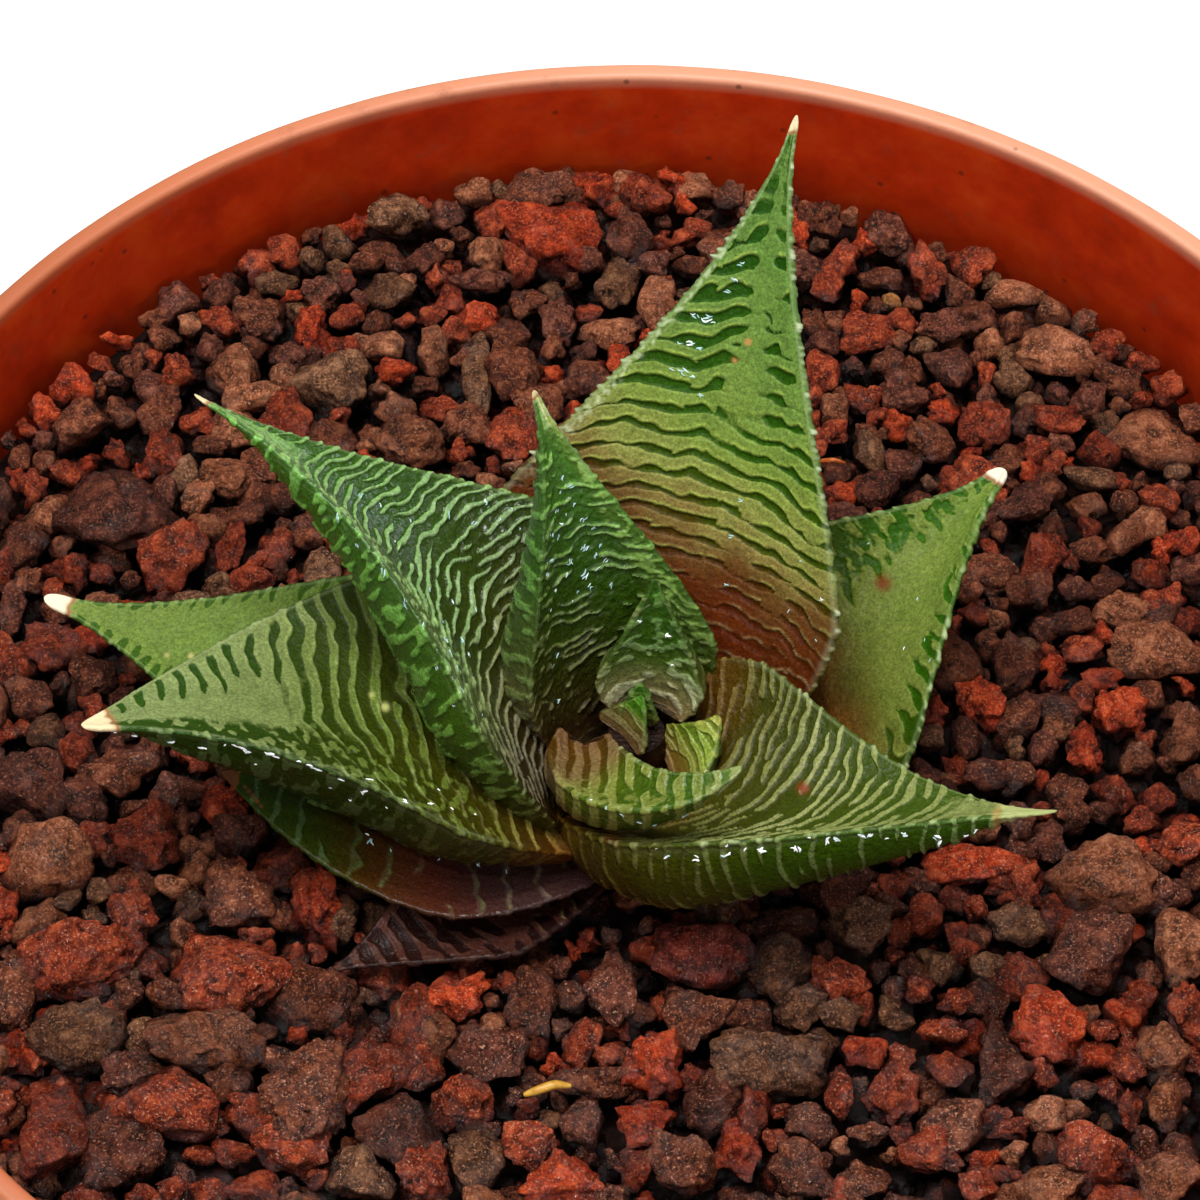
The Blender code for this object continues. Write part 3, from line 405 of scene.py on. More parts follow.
TABLE_RNG = np.random.default_rng(7)
PERM = np.concatenate([TABLE_RNG.permutation(256)] * 2)
GRADS = TABLE_RNG.normal(size=(256, 3))
GRADS = GRADS / np.linalg.norm(GRADS, axis=1, keepdims=True)


def noise(x, y, z):
    """Gradient noise, about -1 to 1."""
    x, y, z = np.broadcast_arrays(x, y, z)
    cx, cy, cz = (np.floor(a).astype(np.int64) for a in (x, y, z))
    fx, fy, fz = x - cx, y - cy, z - cz
    wx, wy, wz = (f * f * f * (f * (f * 6 - 15) + 10) for f in (fx, fy, fz))
    total = np.zeros(x.shape)
    for i, j, k in np.ndindex(2, 2, 2):
        spot = PERM[PERM[PERM[(cx + i) & 255] + ((cy + j) & 255)] + ((cz + k) & 255)]
        g = GRADS[spot]
        dot = g[..., 0] * (fx - i) + g[..., 1] * (fy - j) + g[..., 2] * (fz - k)
        weight = (wx if i else 1 - wx) * (wy if j else 1 - wy) * (wz if k else 1 - wz)
        total += weight * dot
    return total * 1.7


def make_mesh(name, points, faces, values):
    """Smooth mesh object from millimetre points, equal-sided faces and point values."""
    mesh = bpy.data.meshes.new(name)
    mesh.vertices.add(len(points))
    mesh.vertices.foreach_set("co", (points * MM).astype(np.float32).ravel())
    mesh.loops.add(faces.size)
    mesh.loops.foreach_set("vertex_index", faces.astype(np.int32).ravel())
    mesh.polygons.add(len(faces))
    mesh.polygons.foreach_set(
        "loop_start", np.arange(0, faces.size, faces.shape[1], dtype=np.int32))
    mesh.update(calc_edges=True)
    mesh.polygons.foreach_set("use_smooth", np.full(len(faces), True))
    for key, value in values.items():
        layer = mesh.attributes.new(key, "FLOAT", "POINT")
        layer.data.foreach_set("value", np.asarray(value, np.float32).ravel())
    thing = bpy.data.objects.new(name, mesh)
    bpy.context.scene.collection.objects.link(thing)
    return thing


def merged(parts):
    """Points and faces of several meshes as those of one."""
    starts = np.cumsum([0] + [len(points) for points, _ in parts])
    return (np.concatenate([points for points, _ in parts]),
            np.concatenate([faces + start for (_, faces), start in zip(parts, starts)]))


def tube(grid, first, last):
    """Points and triangles of rings of points, closed at both ends by a middle point."""
    rows, around = grid.shape[:2]
    index = np.arange(rows * around).reshape(rows, around)
    nxt = np.roll(index, -1, axis=1)
    flat = np.vstack([grid.reshape(-1, 3), first, last])
    quads = np.stack([index[:-1], nxt[:-1], nxt[1:], index[1:]], axis=-1).reshape(-1, 4)
    cap0 = np.stack([nxt[0], index[0], np.full(around, rows * around)], -1)
    cap1 = np.stack([index[-1], nxt[-1], np.full(around, rows * around + 1)], -1)
    return flat, np.concatenate([quads[:, [0, 1, 2]], quads[:, [0, 2, 3]], cap0, cap1])


def seen_spot(points):
    """Picture place of world points in millimetres."""
    gap = points - np.array(EYE)
    depth = gap[..., 1] * math.cos(EYE_DIP) - gap[..., 2] * math.sin(EYE_DIP)
    lift = gap[..., 1] * math.sin(EYE_DIP) + gap[..., 2] * math.cos(EYE_DIP)
    return MIDDLE + FOCAL * gap[..., 0] / depth, MIDDLE - FOCAL * lift / depth


def width_share(t, peak, base, shoulder, point):
    """Width at t as a share of the greatest width."""
    up = base + (1 - base) * np.sin(np.clip(t / peak, 0, 1) * np.pi / 2)
    s = np.clip((t - peak) / (1 - peak), 0, 1)
    return np.where(t < peak, up, (1 - s ** shoulder) ** point)


def heading(rise, bearing):
    """Direction along a bearing that climbs by rise."""
    return np.column_stack([np.cos(rise) * np.cos(bearing),
                            np.cos(rise) * np.sin(bearing), np.sin(rise)])


def leaf_path(spec, t):
    """Middle line of a leaf at t, and the ways up and to the side there."""
    fine = np.linspace(0, 1, SAMPLES)
    rise = np.radians(spec["rise0"] + (spec["rise1"] - spec["rise0"]) * fine)
    bearing = np.radians(spec["az"] + spec["sweep"] * fine ** spec["sweep_pow"])
    ahead = heading(rise, bearing)
    az = math.radians(spec["az"])
    start = np.array([HEART[0] + spec["r0"] * math.cos(az) + spec["side0"] * math.sin(az),
                      HEART[1] + spec["r0"] * math.sin(az) - spec["side0"] * math.cos(az),
                      spec["z0"]])
    steps = (ahead[1:] + ahead[:-1]) / 2 * spec["length"] / (SAMPLES - 1)
    path = np.vstack([start, start + np.cumsum(steps, axis=0)])
    place = np.column_stack([np.interp(t, fine, path[:, i]) for i in range(3)])
    rise = np.interp(t, fine, rise)
    bearing = np.interp(t, fine, bearing)
    ahead = heading(rise, bearing)
    up = np.column_stack([-np.sin(rise) * np.cos(bearing),
                          -np.sin(rise) * np.sin(bearing), np.cos(rise)])
    side = np.cross(ahead, up)
    roll = np.radians(spec["roll0"] + (spec["roll1"] - spec["roll0"]) * t)[:, None]
    return (place, up * np.cos(roll) + side * np.sin(roll),
            side * np.cos(roll) - up * np.sin(roll))


def leaf_section(spec, t, across):
    """Upper face offsets, slope and blade thickness, as in the solid leaf."""
    share = width_share(t, spec["peak"], spec["base"], spec["shoulder"], spec["point"])
    half = np.hypot(spec["width"] / 2 * share, spec["tip"])
    end = np.clip((t - 0.965) / 0.035, 0, 1)
    close = np.sqrt(np.clip(1 - end ** 2, 0.012, 1))
    half = half * close
    curl = np.radians(spec["curl0"] + (spec["curl1"] - spec["curl0"]) * t ** 0.8)
    x = half * np.sin(curl * across) / curl
    h = half * (1 - np.cos(curl * across)) / curl
    keel = spec["keel"]
    away = np.where(across > keel, (across - keel) / (1 - keel), (keel - across) / (1 + keel))
    sharpness = 2.0 - 0.8 * np.clip((t - 0.1) / 0.6, 0, 1)
    middle = spec["thick"] * share ** 0.75
    thick = EDGE + (middle - EDGE) * np.clip(1 - away ** sharpness, 0, 1)
    slim = np.clip((1 - t) / 0.2, 0.0, 1.0) ** 0.9
    thick = (thick * slim + (0.1 + spec["tip"] * 0.8) * (1 - slim)) * close
    return x, h, -np.sin(curl * across), np.cos(curl * across), thick, half


def knots(u, s, wide, long, z):
    """Low rounded nodules, 0 to 1."""
    return ease(-0.05, 0.4, noise(u / wide, s / long, z)
                + 0.4 * noise(u / wide * 2.2, s / long * 2.2, z + 1))


def ridge_field(look, s, u, length, half, under, course):
    """Paleness of ridges 0 to 1, their bright lips, their number, how deep in a groove."""
    rng = np.random.default_rng(look["seed"] * 10 + under)
    pitch = look["under_pitch"] if under else look["pitch"]
    fill = look["under_fill"] if under else look["fill"]
    bow = 0.0 if under else look["bow"]
    slope = look["under_slope"] if under else look["slope"]
    z = look["seed"] * 3.7 + 11.3 * under
    v = u / np.maximum(half, 0.5)
    grown = np.clip(half / (look["width"] * 0.45), 0, 1)
    bend = look["wave"] * noise(u / 4.5, s / 7.0, z) + 0.35 * look["wave"] * noise(
        u / 1.5, s / 2.4, z + 5)
    even = course
    if course is None:
        even = s - look["loosen"] * np.maximum(0, s - length / 2)
    phase = (even + bend + bow * v * v * grown + slope * u) / pitch
    for _ in range(look["forks"]):
        fs = rng.uniform(0.05, 0.8) * length
        fu = rng.uniform(-0.8, 0.8) * look["width"] / 2
        sign = 1 if rng.random() < 0.5 else -1
        phase = phase + sign * np.arctan2(u - fu, s - fs) / math.tau
    count = np.floor(phase)
    p = phase - count
    span = noise(u / 3.2, count * 5.3, z + 9)
    broken = ease(look["broken"] - 0.3, look["broken"] + 0.1, span)
    filled = ease(look["gaps"] - 0.3, look["gaps"] + 0.1, -span)
    if look["fill_tip"] and not under:
        fill = fill + (look["fill_tip"] - fill) * ease(0.48, 0.62, s / length)
    wide = fill + 0.2 * noise(u / 1.6, count * 3.1, z + 15)
    wide = wide + (1.15 - wide) * filled
    wide = wide * (1 - broken) - 0.08 * broken
    share = 1 - wide
    rise = ease(share - 0.08, share + 0.05, p)
    fall = 1 - (1 - filled) * ease(0.86, 1.0, p)
    pale = rise * fall * (1 - broken ** 4)
    lip = np.exp(-((p - share - 0.07) / 0.07) ** 2) * (1 - filled) * (1 - broken)
    inside = np.clip(1 - (2 * p / np.maximum(share, 0.1) - 1) ** 2, 0, 1)
    return pale, lip, count, inside


def upper_pattern(look, T, s, u, upper, length, half, course):
    """Upper face: paleness of its ridges, their bright lips, and pale knots along one side."""
    seed_z = look["seed"] * 2.3
    pale, lip, count, inside = ridge_field(look, s, u, length, half, 0, course)
    if look["calm"]:
        quiet = ease(*look["calm"], T + 0.05 * noise(u / 1.5, s / 1.5, seed_z + 51))
        pale = pale + (0.42 + 0.3 * noise(u / 0.8, s / 0.8, seed_z + 52) - pale) * (0.85 * quiet)
        lip = lip * (1 - quiet)
    mask = np.ones_like(pale)
    if look["strip"]:
        centre, begin, full, wide = look["strip"]
        grow = ease(begin, full, T + 0.04 * noise(u / 3, s / 4, seed_z))
        reach = np.abs(upper - centre)
        ends = 0.16 * noise(count * 4.7, 0.0, seed_z + 2) + 0.05 * noise(u, s, seed_z + 3)
        ends = ends + 0.14 * (inside - 0.6)
        mask = 1 - grow * (1 - beyond(wide, 0.06, reach + ends))
    if look["hem"]:
        begin, full, edge_from = look["hem"]
        edge_from = edge_from + 0.06 * noise(s / 0.9, 3.0, seed_z + 3)
        mask = mask * (1 - ease(begin, full, T) * beyond(edge_from, 0.05, upper))
    if look["verge"]:
        left, right = (1.03 - (1.03 - v) * ease(0.35, 0.62, T) for v in look["verge"])
        drift = upper + 0.08 * noise(count * 2.1, 4.0, seed_z + 5)
        mask = mask * beyond(-left, 0.04, drift)
        mask = mask * (1 - beyond(right, 0.04, drift))
    pale = 1 - (1 - pale) * mask
    lumps = knots(u, s, 1.2, 0.75, seed_z + 33)
    if look["mottle"]:
        blend = 0.85 * ease(*look["mottle"], -upper + 0.1 * noise(s / 2.0, 2.0, seed_z + 31))
        blend = blend * ease(0.12, 0.3, T)
        pale = pale + (lumps - pale) * blend
    sheen = 0 * pale
    # Band: pale knots along one side, partly the leaf's own pale nodules and partly painted sheen on
    # them.
    if look["band"]:
        hand, begin, full, weight = look["band"]
        sheen = ease(begin, full, hand * upper) * ease(0.1, 0.3, T)
        pale = np.maximum(pale, lumps * sheen)
        sheen = weight * sheen * (0.3 + 0.7 * lumps)
    return pale, lip * mask, sheen


def arc(ax, ah, bx, bh, bulge):
    """Rounded margin between the two faces."""
    cx, ch = (ax + bx) / 2, (ah + bh) / 2
    rx, rh = ax - cx, ah - ch
    grow = 1 + bulge / np.maximum(np.hypot(rx, rh), 0.05)
    angles = [math.pi * i / MARGIN_STEPS for i in range(1, MARGIN_STEPS)]
    return (np.concatenate([cx + rx * math.cos(a) + rh * math.sin(a) * grow for a in angles], axis=1),
            np.concatenate([ch + rh * math.cos(a) - rx * math.sin(a) * grow for a in angles], axis=1))


def teeth(edge_pale, along, z):
    """Irregular rough bumps along a margin."""
    fine = ease(0.0, 0.55, noise(along / 0.42, 0.0, z) + 0.25 * (edge_pale - 0.5))
    patch = ease(-0.35, 0.25, noise(along / 2.6, 5.0, z))
    bead = ease(0.35, 0.6, noise(along / 0.75, 9.0, z))
    return np.clip(fine * patch * 0.8 + bead * 0.9, 0, 1.2)


def leaf_piece(name):
    """Fine leaf with raised cross ridges, rough margins and point values for its colours."""
    spec = LEAVES[name]
    look = RIDGES | RIDGE_LOOKS[name] | {"width": spec["width"]}
    colour = GREEN | LEAF_LOOKS[name]
    length = spec["length"]
    rows = int(min(400, max(90, length * 9.0)))
    columns = int(min(118, max(40, spec["width"] * 5.0)))
    below = int(columns * 0.6)
    t = np.linspace(0, 1, rows) ** 0.92
    place, up, side = leaf_path(spec, t)
    T = t[:, None]
    along = T * length
    upper = np.sin(np.linspace(-1, 1, columns + 1) * 1.25)[None, :] / math.sin(1.25)
    lower = np.sin(np.linspace(1, -1, below + 1) * 1.2)[None, :] / math.sin(1.2)
    seed_z = look["seed"] * 2.3

    # Upper face.
    x, h, nx, nh, thick, half = leaf_section(spec, T, upper)
    u = upper * half
    s = along + 0 * u

    def in_place(x, h):
        """World points of offsets to the side and up from the middle line."""
        return place[:, None] + side[:, None] * x[..., None] + up[:, None] * h[..., None]

    def upright_course(x, h):
        """How far to the right the points are seen, for ridges upright in the picture."""
        return seen_spot(in_place(x, h))[0] / UNITS_PER_MM if look["upright"] else None

    course = upright_course(x, h)
    pale_up, lip_up, sheen = upper_pattern(look, T, s, u, upper, length, half, course)
    fade_root = 0.25 + 0.75 * ease(*look["root"], T)
    fade_tip = 1 - ease(0.86, 0.98, T)
    relief = look["rise"] * (pale_up + look["lip"] * lip_up) * fade_root * (0.25 + 0.75 * fade_tip)
    relief = relief * (1 - 0.6 * ease(0.86, 1.0, np.abs(upper)))
    pebble = look["rough"] * noise(u * 2.1, s * 2.1, seed_z + 4) + 0.08 * noise(u / 4, s / 5, seed_z)
    relief = relief + pebble * (0.2 + 0.8 * fade_tip)
    ux = x + nx * relief
    uh = h + nh * relief

    # Underside.
    x, h, nx, nh, thick, half = leaf_section(spec, T, lower)
    u2 = lower * half
    s2 = along + 0 * u2
    course = upright_course(x - nx * thick, h - nh * thick)
    face = 0 if look["through"] else 1
    pale_low, lip_low, *_ = ridge_field(look, s2, u2, length, half, face, course)
    if look["under_knots"]:
        pale_low = knots(u2, s2, *look["under_knots"], seed_z + 21)
        lip_low = 0 * pale_low
    relief2 = look["under_rise"] * (pale_low + 0.2 * lip_low) * fade_root * (0.15 + 0.85 * fade_tip)
    relief2 = relief2 + 0.02 * noise(u2 * 2.4, s2 * 2.4, seed_z + 8)
    depth = thick + relief2 * np.clip(thick / 0.6, 0, 1)
    lx = x - nx * depth
    lh = h - nh * depth

    # Margins and the closed leaf.
    tooth_right = teeth(pale_up[:, -4:].mean(1, keepdims=True), along, seed_z + 6)
    tooth_left = teeth(pale_up[:, :4].mean(1, keepdims=True), along, seed_z + 7)
    room = np.clip(half[:, :1] / 2.5, 0, 1) * fade_root
    right_x, right_h = arc(ux[:, -1:], uh[:, -1:], lx[:, :1], lh[:, :1],
                           look["teeth"][1] * tooth_right * room)
    left_x, left_h = arc(lx[:, -1:], lh[:, -1:], ux[:, :1], uh[:, :1],
                         look["teeth"][0] * tooth_left * room)
    points = in_place(np.concatenate([ux, right_x, lx, left_x], axis=1),
                      np.concatenate([uh, right_h, lh, left_h], axis=1))
    flat, tris = tube(points, points[0].mean(0), points[-1].mean(0))

    def ring(upper_part, right_part, lower_part, left_part):
        """Values of the four parts, laid round the leaf."""
        wide = np.zeros_like(right_x)
        return np.concatenate([upper_part + 0 * ux, right_part + wide, lower_part + 0 * lx,
                               left_part + wide], axis=1)

    # Ridges, lips and underside.
    ring_v = ring(upper, 1.0, lower, -1.0)
    around_edge = np.linspace(0.1, 0.9, MARGIN_STEPS - 1)[None, :]
    ridge = ring(pale_up * fade_root,
                 pale_up[:, -1:] * (1 - around_edge) + pale_low[:, :1] * around_edge,
                 pale_low * fade_root,
                 pale_low[:, -1:] * (1 - around_edge) + pale_up[:, :1] * around_edge)
    lip = ring(lip_up, 0.0, lip_low, 0.0)
    turn_under = np.clip(0.3 + around_edge, 0, 1)
    under = ring(0.0, turn_under, 1.0, turn_under[:, ::-1])
    if look["through"]:
        under = 0 * under

    # Pale margins, keel, crumbs and knots.
    up_edge = ease(0.965, 1.0, np.abs(upper))
    low_edge = ease(0.95, 1.0, np.abs(lower))
    keel_line = np.exp(-((lower - spec["keel"]) / 0.05) ** 2) * ease(0.15, 0.4, T)
    left_pale, right_pale = (min(1.0, 0.2 + 5 * size) for size in look["teeth"])
    rim_up = up_edge * 0.2
    crumbs = ease(-0.25, 0.35, noise(u / 0.35, s / 0.5, seed_z + 61))
    for hand, weight in zip((-1, 1), look["crust"]):
        rim_up = np.maximum(rim_up, weight * crumbs * ease(0.89, 0.97, hand * upper) * (
            ease(0.3, 0.42, T) - ease(0.8, 0.92, T)))
    # Pale knots of the band, partly painted sheen, take the pale margin colour.
    rim_up = np.maximum(rim_up, sheen)
    rim = ring(rim_up, (0.05 + 0.95 * tooth_right) * right_pale * (1 - around_edge ** 2),
               np.maximum(low_edge * 0.1, keel_line * pale_low * 0.4),
               (0.05 + 0.95 * tooth_left) * left_pale * (1 - (1 - around_edge) ** 2))
    rim = rim * ease(0.1, 0.3, T)

    # Gloss, place in the colour runs, horny tip and small marks.
    wet = ring(look["wet"][0], max(look["wet"]), look["wet"][1], max(look["wet"]))
    full_u = ring_v * half[:, :1]
    full_s = along + 0 * full_u
    zone = np.clip(T + colour["slant"] * ring_v
                   + 0.035 * noise(full_u / 3.5, full_s / 5.0, seed_z + 12), 0, 1)
    dry = beyond(colour["dry_from"], 0.01,
                 full_s / length + 0.01 * noise(full_u / 0.7, full_s / 0.7, seed_z + 14))
    mark = np.zeros_like(ring_v)
    if name in MARKS:
        px, py = seen_spot(points)
        for mx, my, size, strength in MARKS[name][1]:
            spot = np.exp(-0.5 * (((px - mx) ** 2 + (py - my) ** 2) / size ** 2) ** 1.5)
            mark = np.maximum(mark, strength * spot)

    parts = dict(ridge=ridge, lip=lip, under=under, rim=rim, zone=zone, dry=dry, mark=mark, wet=wet)
    values = {key: np.concatenate([grid.ravel(), [grid[0].mean(), grid[-1].mean()]])
              for key, grid in parts.items()}
    thing = make_mesh(name + "_fine", flat, tris, values)
    thing.data.materials.append(leaf_material(name + "_look", colour, MARKS.get(name)))
    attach(thing, "root")
    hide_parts(name)
    return points


class Graph:
    """Short helper for building a node material."""

    def __init__(self, name):
        self.material = bpy.data.materials.new(name)
        self.material.use_nodes = True
        self.nodes = self.material.node_tree.nodes
        self.links = self.material.node_tree.links
        self.shader = self.nodes["Principled BSDF"]
        self.coords = self.nodes.new("ShaderNodeTexCoord").outputs["Object"]

    def put(self, value, socket):
        """Give a socket a number, a colour, its hex code or a node's output."""
        if isinstance(value, bpy.types.NodeSocket):
            self.links.new(value, socket)
        else:
            socket.default_value = linear(value) if isinstance(value, str) else value

    def feed(self, key, value):
        """The same for a socket of the shader."""
        self.put(value, self.shader.inputs[key])

    def add(self, kind, *values, **settings):
        """Node with its settings, and with values for its sockets in their order."""
        node = self.nodes.new("ShaderNode" + kind)
        for key, setting in settings.items():
            setattr(node, key, setting)
        for value, socket in zip(values, node.inputs):
            if value is not None:
                self.put(value, socket)
        return node

    def value(self, key):
        """Value that the mesh carries at its points."""
        return self.add("Attribute", attribute_name=key).outputs["Fac"]

    def math(self, kind, a, b=0.0, c=None, clamp=False):
        """Sum, product or power of its inputs."""
        return self.add("Math", a, b, c, operation=kind, use_clamp=clamp).outputs[0]

    def times(self, value, *others):
        """Product of its inputs."""
        for other in others:
            value = self.math("MULTIPLY", value, other)
        return value

    def joined(self, *values):
        """Colour from its red, green and blue."""
        return self.add("CombineXYZ", *values).outputs[0]

    def axes(self):
        """Place in the part along x, y and z."""
        return self.add("SeparateXYZ", self.coords).outputs

    def mix(self, share, a, b, kind="MIX"):
        """Colour a with a share of colour b."""
        node = self.add("Mix", share, data_type="RGBA", blend_type=kind)
        self.put(a, node.inputs[6])
        self.put(b, node.inputs[7])
        return node.outputs[2]

    def ramp(self, share, stops):
        """Colour run over share, from text or from places with a grey or a colour."""
        node = self.add("ValToRGB", share)
        points = node.color_ramp.elements
        if isinstance(stops, str):
            stops = [(float(place), linear(code)) for place, code in map(str.split, stops.split(","))]
        while len(points) < len(stops):
            points.new(0.5)
        for point, (place, _) in zip(points, stops):
            point.position = place
        for point, (_, tone) in zip(points, stops):
            point.color = tone if isinstance(tone, tuple) else (tone, tone, tone, 1)
        return node.outputs[0]

    def noise(self, size, detail=3.0, rough=0.55):
        """Noise whose features are about size millimetres wide."""
        return self.add("TexNoise", self.coords, None, 1.0 / (size * MM), detail, rough).outputs["Fac"]

    def cells(self, size):
        """Distance to scattered points about size millimetres apart."""
        return self.add("TexVoronoi", self.coords, None, 1.0 / (size * MM)).outputs["Distance"]

    def span(self, value, low, high, to_low, to_high):
        """Value mapped from one range to another and held inside it."""
        return self.add("MapRange", value, low, high, to_low, to_high).outputs["Result"]

    def bump(self, height, depth, strength, below=None):
        """Surface tilted by a height depth millimetres deep."""
        node = self.add("Bump")
        node.inputs["Distance"].default_value = depth * MM
        node.inputs["Strength"].default_value = strength
        self.links.new(height, node.inputs["Height"])
        if below is not None:
            self.links.new(below, node.inputs["Normal"])
        return node.outputs["Normal"]


def leaf_material(name, look, marks):
    """Leaf skin: dark grooves, pale granular ridges, bright lips (pale crests with a painted highlight of
    their lit edge), dry tip, rough margins.
    """
    g = Graph(name)
    zone = g.value("zone")
    ridge = g.value("ridge")
    groove = g.ramp(zone, look["groove"])
    crest = g.ramp(zone, look["crest"])
    grain = g.noise(0.19, 1.0, 0.5)
    speck = g.noise(0.45, 3.0, 0.65)
    blotch = g.noise(2.2, 4.0, 0.6)
    edge = g.span(g.math("MULTIPLY_ADD", speck, 0.5, g.math("SUBTRACT", ridge, 0.25)),
                  0.3, 0.7, 0.0, 1.0)
    skin = g.mix(edge, groove, crest)
    low = g.mix(edge, g.ramp(zone, look["under"]), g.ramp(zone, look["under_crest"]))
    skin = g.mix(g.value("under"), skin, low)
    skin = g.mix(g.span(blotch, 0.42, 0.7, 0.0, look["blotch"]), skin, groove)
    # Lips: partly the pale, thin crests of the ridges and partly a painted highlight of their lit edge.
    lip = g.times(g.value("lip"), g.span(g.noise(1.1, 2.0), 0.35, 0.6, 0.0, 0.7),
                  g.span(zone, 0.1, 0.35, 0.35, 1.0), g.span(g.value("under"), 0.0, 1.0, 1.0, 0.35))
    line = g.mix(g.span(zone, 0.24, 0.36, 0.0, 1.0), look["line_root"], look["line"])
    skin = g.mix(lip, skin, line)
    shade = g.times(g.span(grain, 0.3, 0.7, 0.74, 1.26), g.span(speck, 0.3, 0.7, 0.84, 1.14))
    skin = g.mix(1.0, skin, g.joined(shade, shade, shade), "MULTIPLY")
    skin = g.mix(g.times(g.value("rim"), 0.8), skin, look["rim"])
    border = g.ramp(g.value("dry"), ((0.0, 0.0), (0.35, 0.9), (0.8, 0.25), (1.0, 0.0)))
    skin = g.mix(g.value("dry"), skin, look["dry"])
    skin = g.mix(border, skin, look["border"])
    if marks:
        skin = g.mix(g.value("mark"), skin, marks[0])
    g.feed("Base Color", skin)
    wet = g.math("ADD", g.value("wet"), g.span(g.noise(1.2, 3.0), 0.3, 0.7, -0.3, 0.3),
                 clamp=True)
    g.feed("Roughness", g.span(wet, 0.0, 1.0, 0.6, 0.14))
    g.feed("Coat Weight", look["coat"])
    g.feed("Coat Roughness", 0.06)
    g.feed("Specular IOR Level", look["shine"])
    fine = g.bump(g.noise(0.15, 1.0, 0.5), 0.03, 1.0)
    coarse = g.bump(g.noise(0.5, 2.0, 0.5), 0.13, 1.0, fine)
    g.feed("Normal", coarse)
    g.feed("Coat Normal", g.bump(g.noise(0.6, 3.0, 0.6), 0.4, 1.0))
    return g.material


def stone_material(kind):
    """Porous lava: pitted; paler on top and dark low down and on the sides, painted light and shade;
    duller on top and wet and glossy low down.
    """
    name, body, deep, pale, dull, _ = GRIT_KINDS[kind]
    gain = (1.06, 0.6, 0.36) if kind in "rx" else (0.97, 0.7, 0.5)
    body, deep, pale = warmed(body, gain), warmed(deep, gain), warmed(pale, gain)
    g = Graph(name + "_look")
    tone = g.value("tone")
    high = g.value("high")
    knob = g.value("knob")
    # Patches follow the granules: paler on the raised ones and darker in the pits, partly painted shade
    # of the pits.
    patches = g.math("MULTIPLY_ADD", knob, 0.22, g.math("SUBTRACT", g.noise(0.9, 5.0, 0.75), 0.11))
    grains = g.noise(0.28, 3.0, 0.7)
    base = g.ramp(patches, ((0.3, deep), (0.5, body), (0.72, pale)))
    base = g.mix(g.span(grains, 0.52, 0.64, 0.0, 0.6), base, deep)
    base = g.mix(g.span(g.noise(0.22, 2.0), 0.54, 0.64, 0.0, 0.7), base, pale)
    base = g.mix(g.span(g.noise(2.8, 3.0), 0.5, 0.68, 0.0, 0.45), base, "2c150c")
    depth = g.axes()[1]
    # Pale specks, stronger towards the front: partly pale grains and partly painted glints of the wet
    # stones.
    near = g.span(depth, -0.03, 0.03, 1.0, 0.35)
    crumbs = g.span(g.noise(0.2, 2.0, 0.6), 0.6, 0.68, 0.0, 0.75)
    base = g.mix(g.times(crumbs, near), base, "dc9c7c")
    # Painted light and shade: the colour lighter on top and near-black low down, and a deeper red where
    # it is dark.
    shade = g.times(g.span(high, 0.05, 1.0, 0.03, 1.32), g.span(tone, 0.0, 1.0, 0.6, 1.4))
    shades = [g.math("POWER", shade, power) for power in (0.92, 1.12, 1.25)]
    base = g.mix(1.0, base, g.joined(*shades), "MULTIPLY")
    g.feed("Base Color", base)
    damp = g.math("SUBTRACT", g.noise(1.6, 4.0, 0.6), g.span(high, 0.2, 0.9, -0.12, 0.04))
    film = g.span(depth, -0.05, -0.005, 0.10, -0.05)
    damp = g.math("ADD", damp, film)
    g.feed("Roughness", g.span(damp, 0.44, 0.56, dull + 0.2, 0.18))
    g.feed("Specular IOR Level", 0.24)
    one = g.bump(g.noise(0.5, 6.0, 0.8), 0.6, 1.0)
    two = g.bump(g.noise(0.16, 3.0, 0.7), 0.14, 1.0, one)
    g.feed("Normal", two)
    coat = g.math("ADD", g.noise(2.4, 3.0, 0.6), film)
    g.feed("Coat Weight", g.span(coat, 0.49, 0.59, 0.0, 1.0))
    g.feed("Coat Roughness", 0.09)
    g.feed("Coat Normal", g.bump(g.noise(0.4, 4.0, 0.7), 0.5, 1.0))
    return g.material


def grit_height(x, y):
    """Level of the grit's surface."""
    return GRIT_LEVEL + GRIT_BACK_RISE * np.maximum(y, 0.0) ** 2 - GRIT_SIDE_FALL * x


def seen_at(px, py, z):
    """World x and y of a spot seen in the picture, at the height z."""
    right = (px - MIDDLE) / FOCAL
    lift = (MIDDLE - py) / FOCAL
    forward = math.cos(EYE_DIP) + lift * math.sin(EYE_DIP)
    down = math.sin(EYE_DIP) - lift * math.cos(EYE_DIP)
    reach = (EYE[2] - z) / down
    return EYE[0] + right * reach, EYE[1] + forward * reach


def ball(level):
    """Points and faces of a ball of triangles."""
    work = bmesh.new()
    bmesh.ops.create_icosphere(work, subdivisions=level, radius=1.0)
    points = np.array([v.co for v in work.verts])
    faces = np.array([[v.index for v in f.verts] for f in work.faces])
    work.free()
    return points, faces


BALLS = {level: ball(level) for level in (3, 4, 5)}


def knobs(q, size):
    """Rounded granules about size across at the points q: 0 between them, 1 on top."""
    p = q / size
    cell = np.floor(p).astype(np.int64)
    best = np.full(len(p), 9.0)
    step = np.where(p - cell > 0.5, 1, -1)
    for corner in np.ndindex(2, 2, 2):
        c = cell + step * np.array(corner)
        spot = PERM[PERM[PERM[c[:, 0] & 255] + (c[:, 1] & 255)] + (c[:, 2] & 255)]
        seat = c + 0.5 + np.clip(GRADS[spot], -1, 1) * 0.32
        best = np.minimum(best, ((p - seat) ** 2).sum(1))
    return 1 - np.clip(np.sqrt(best) / 0.8, 0, 1)


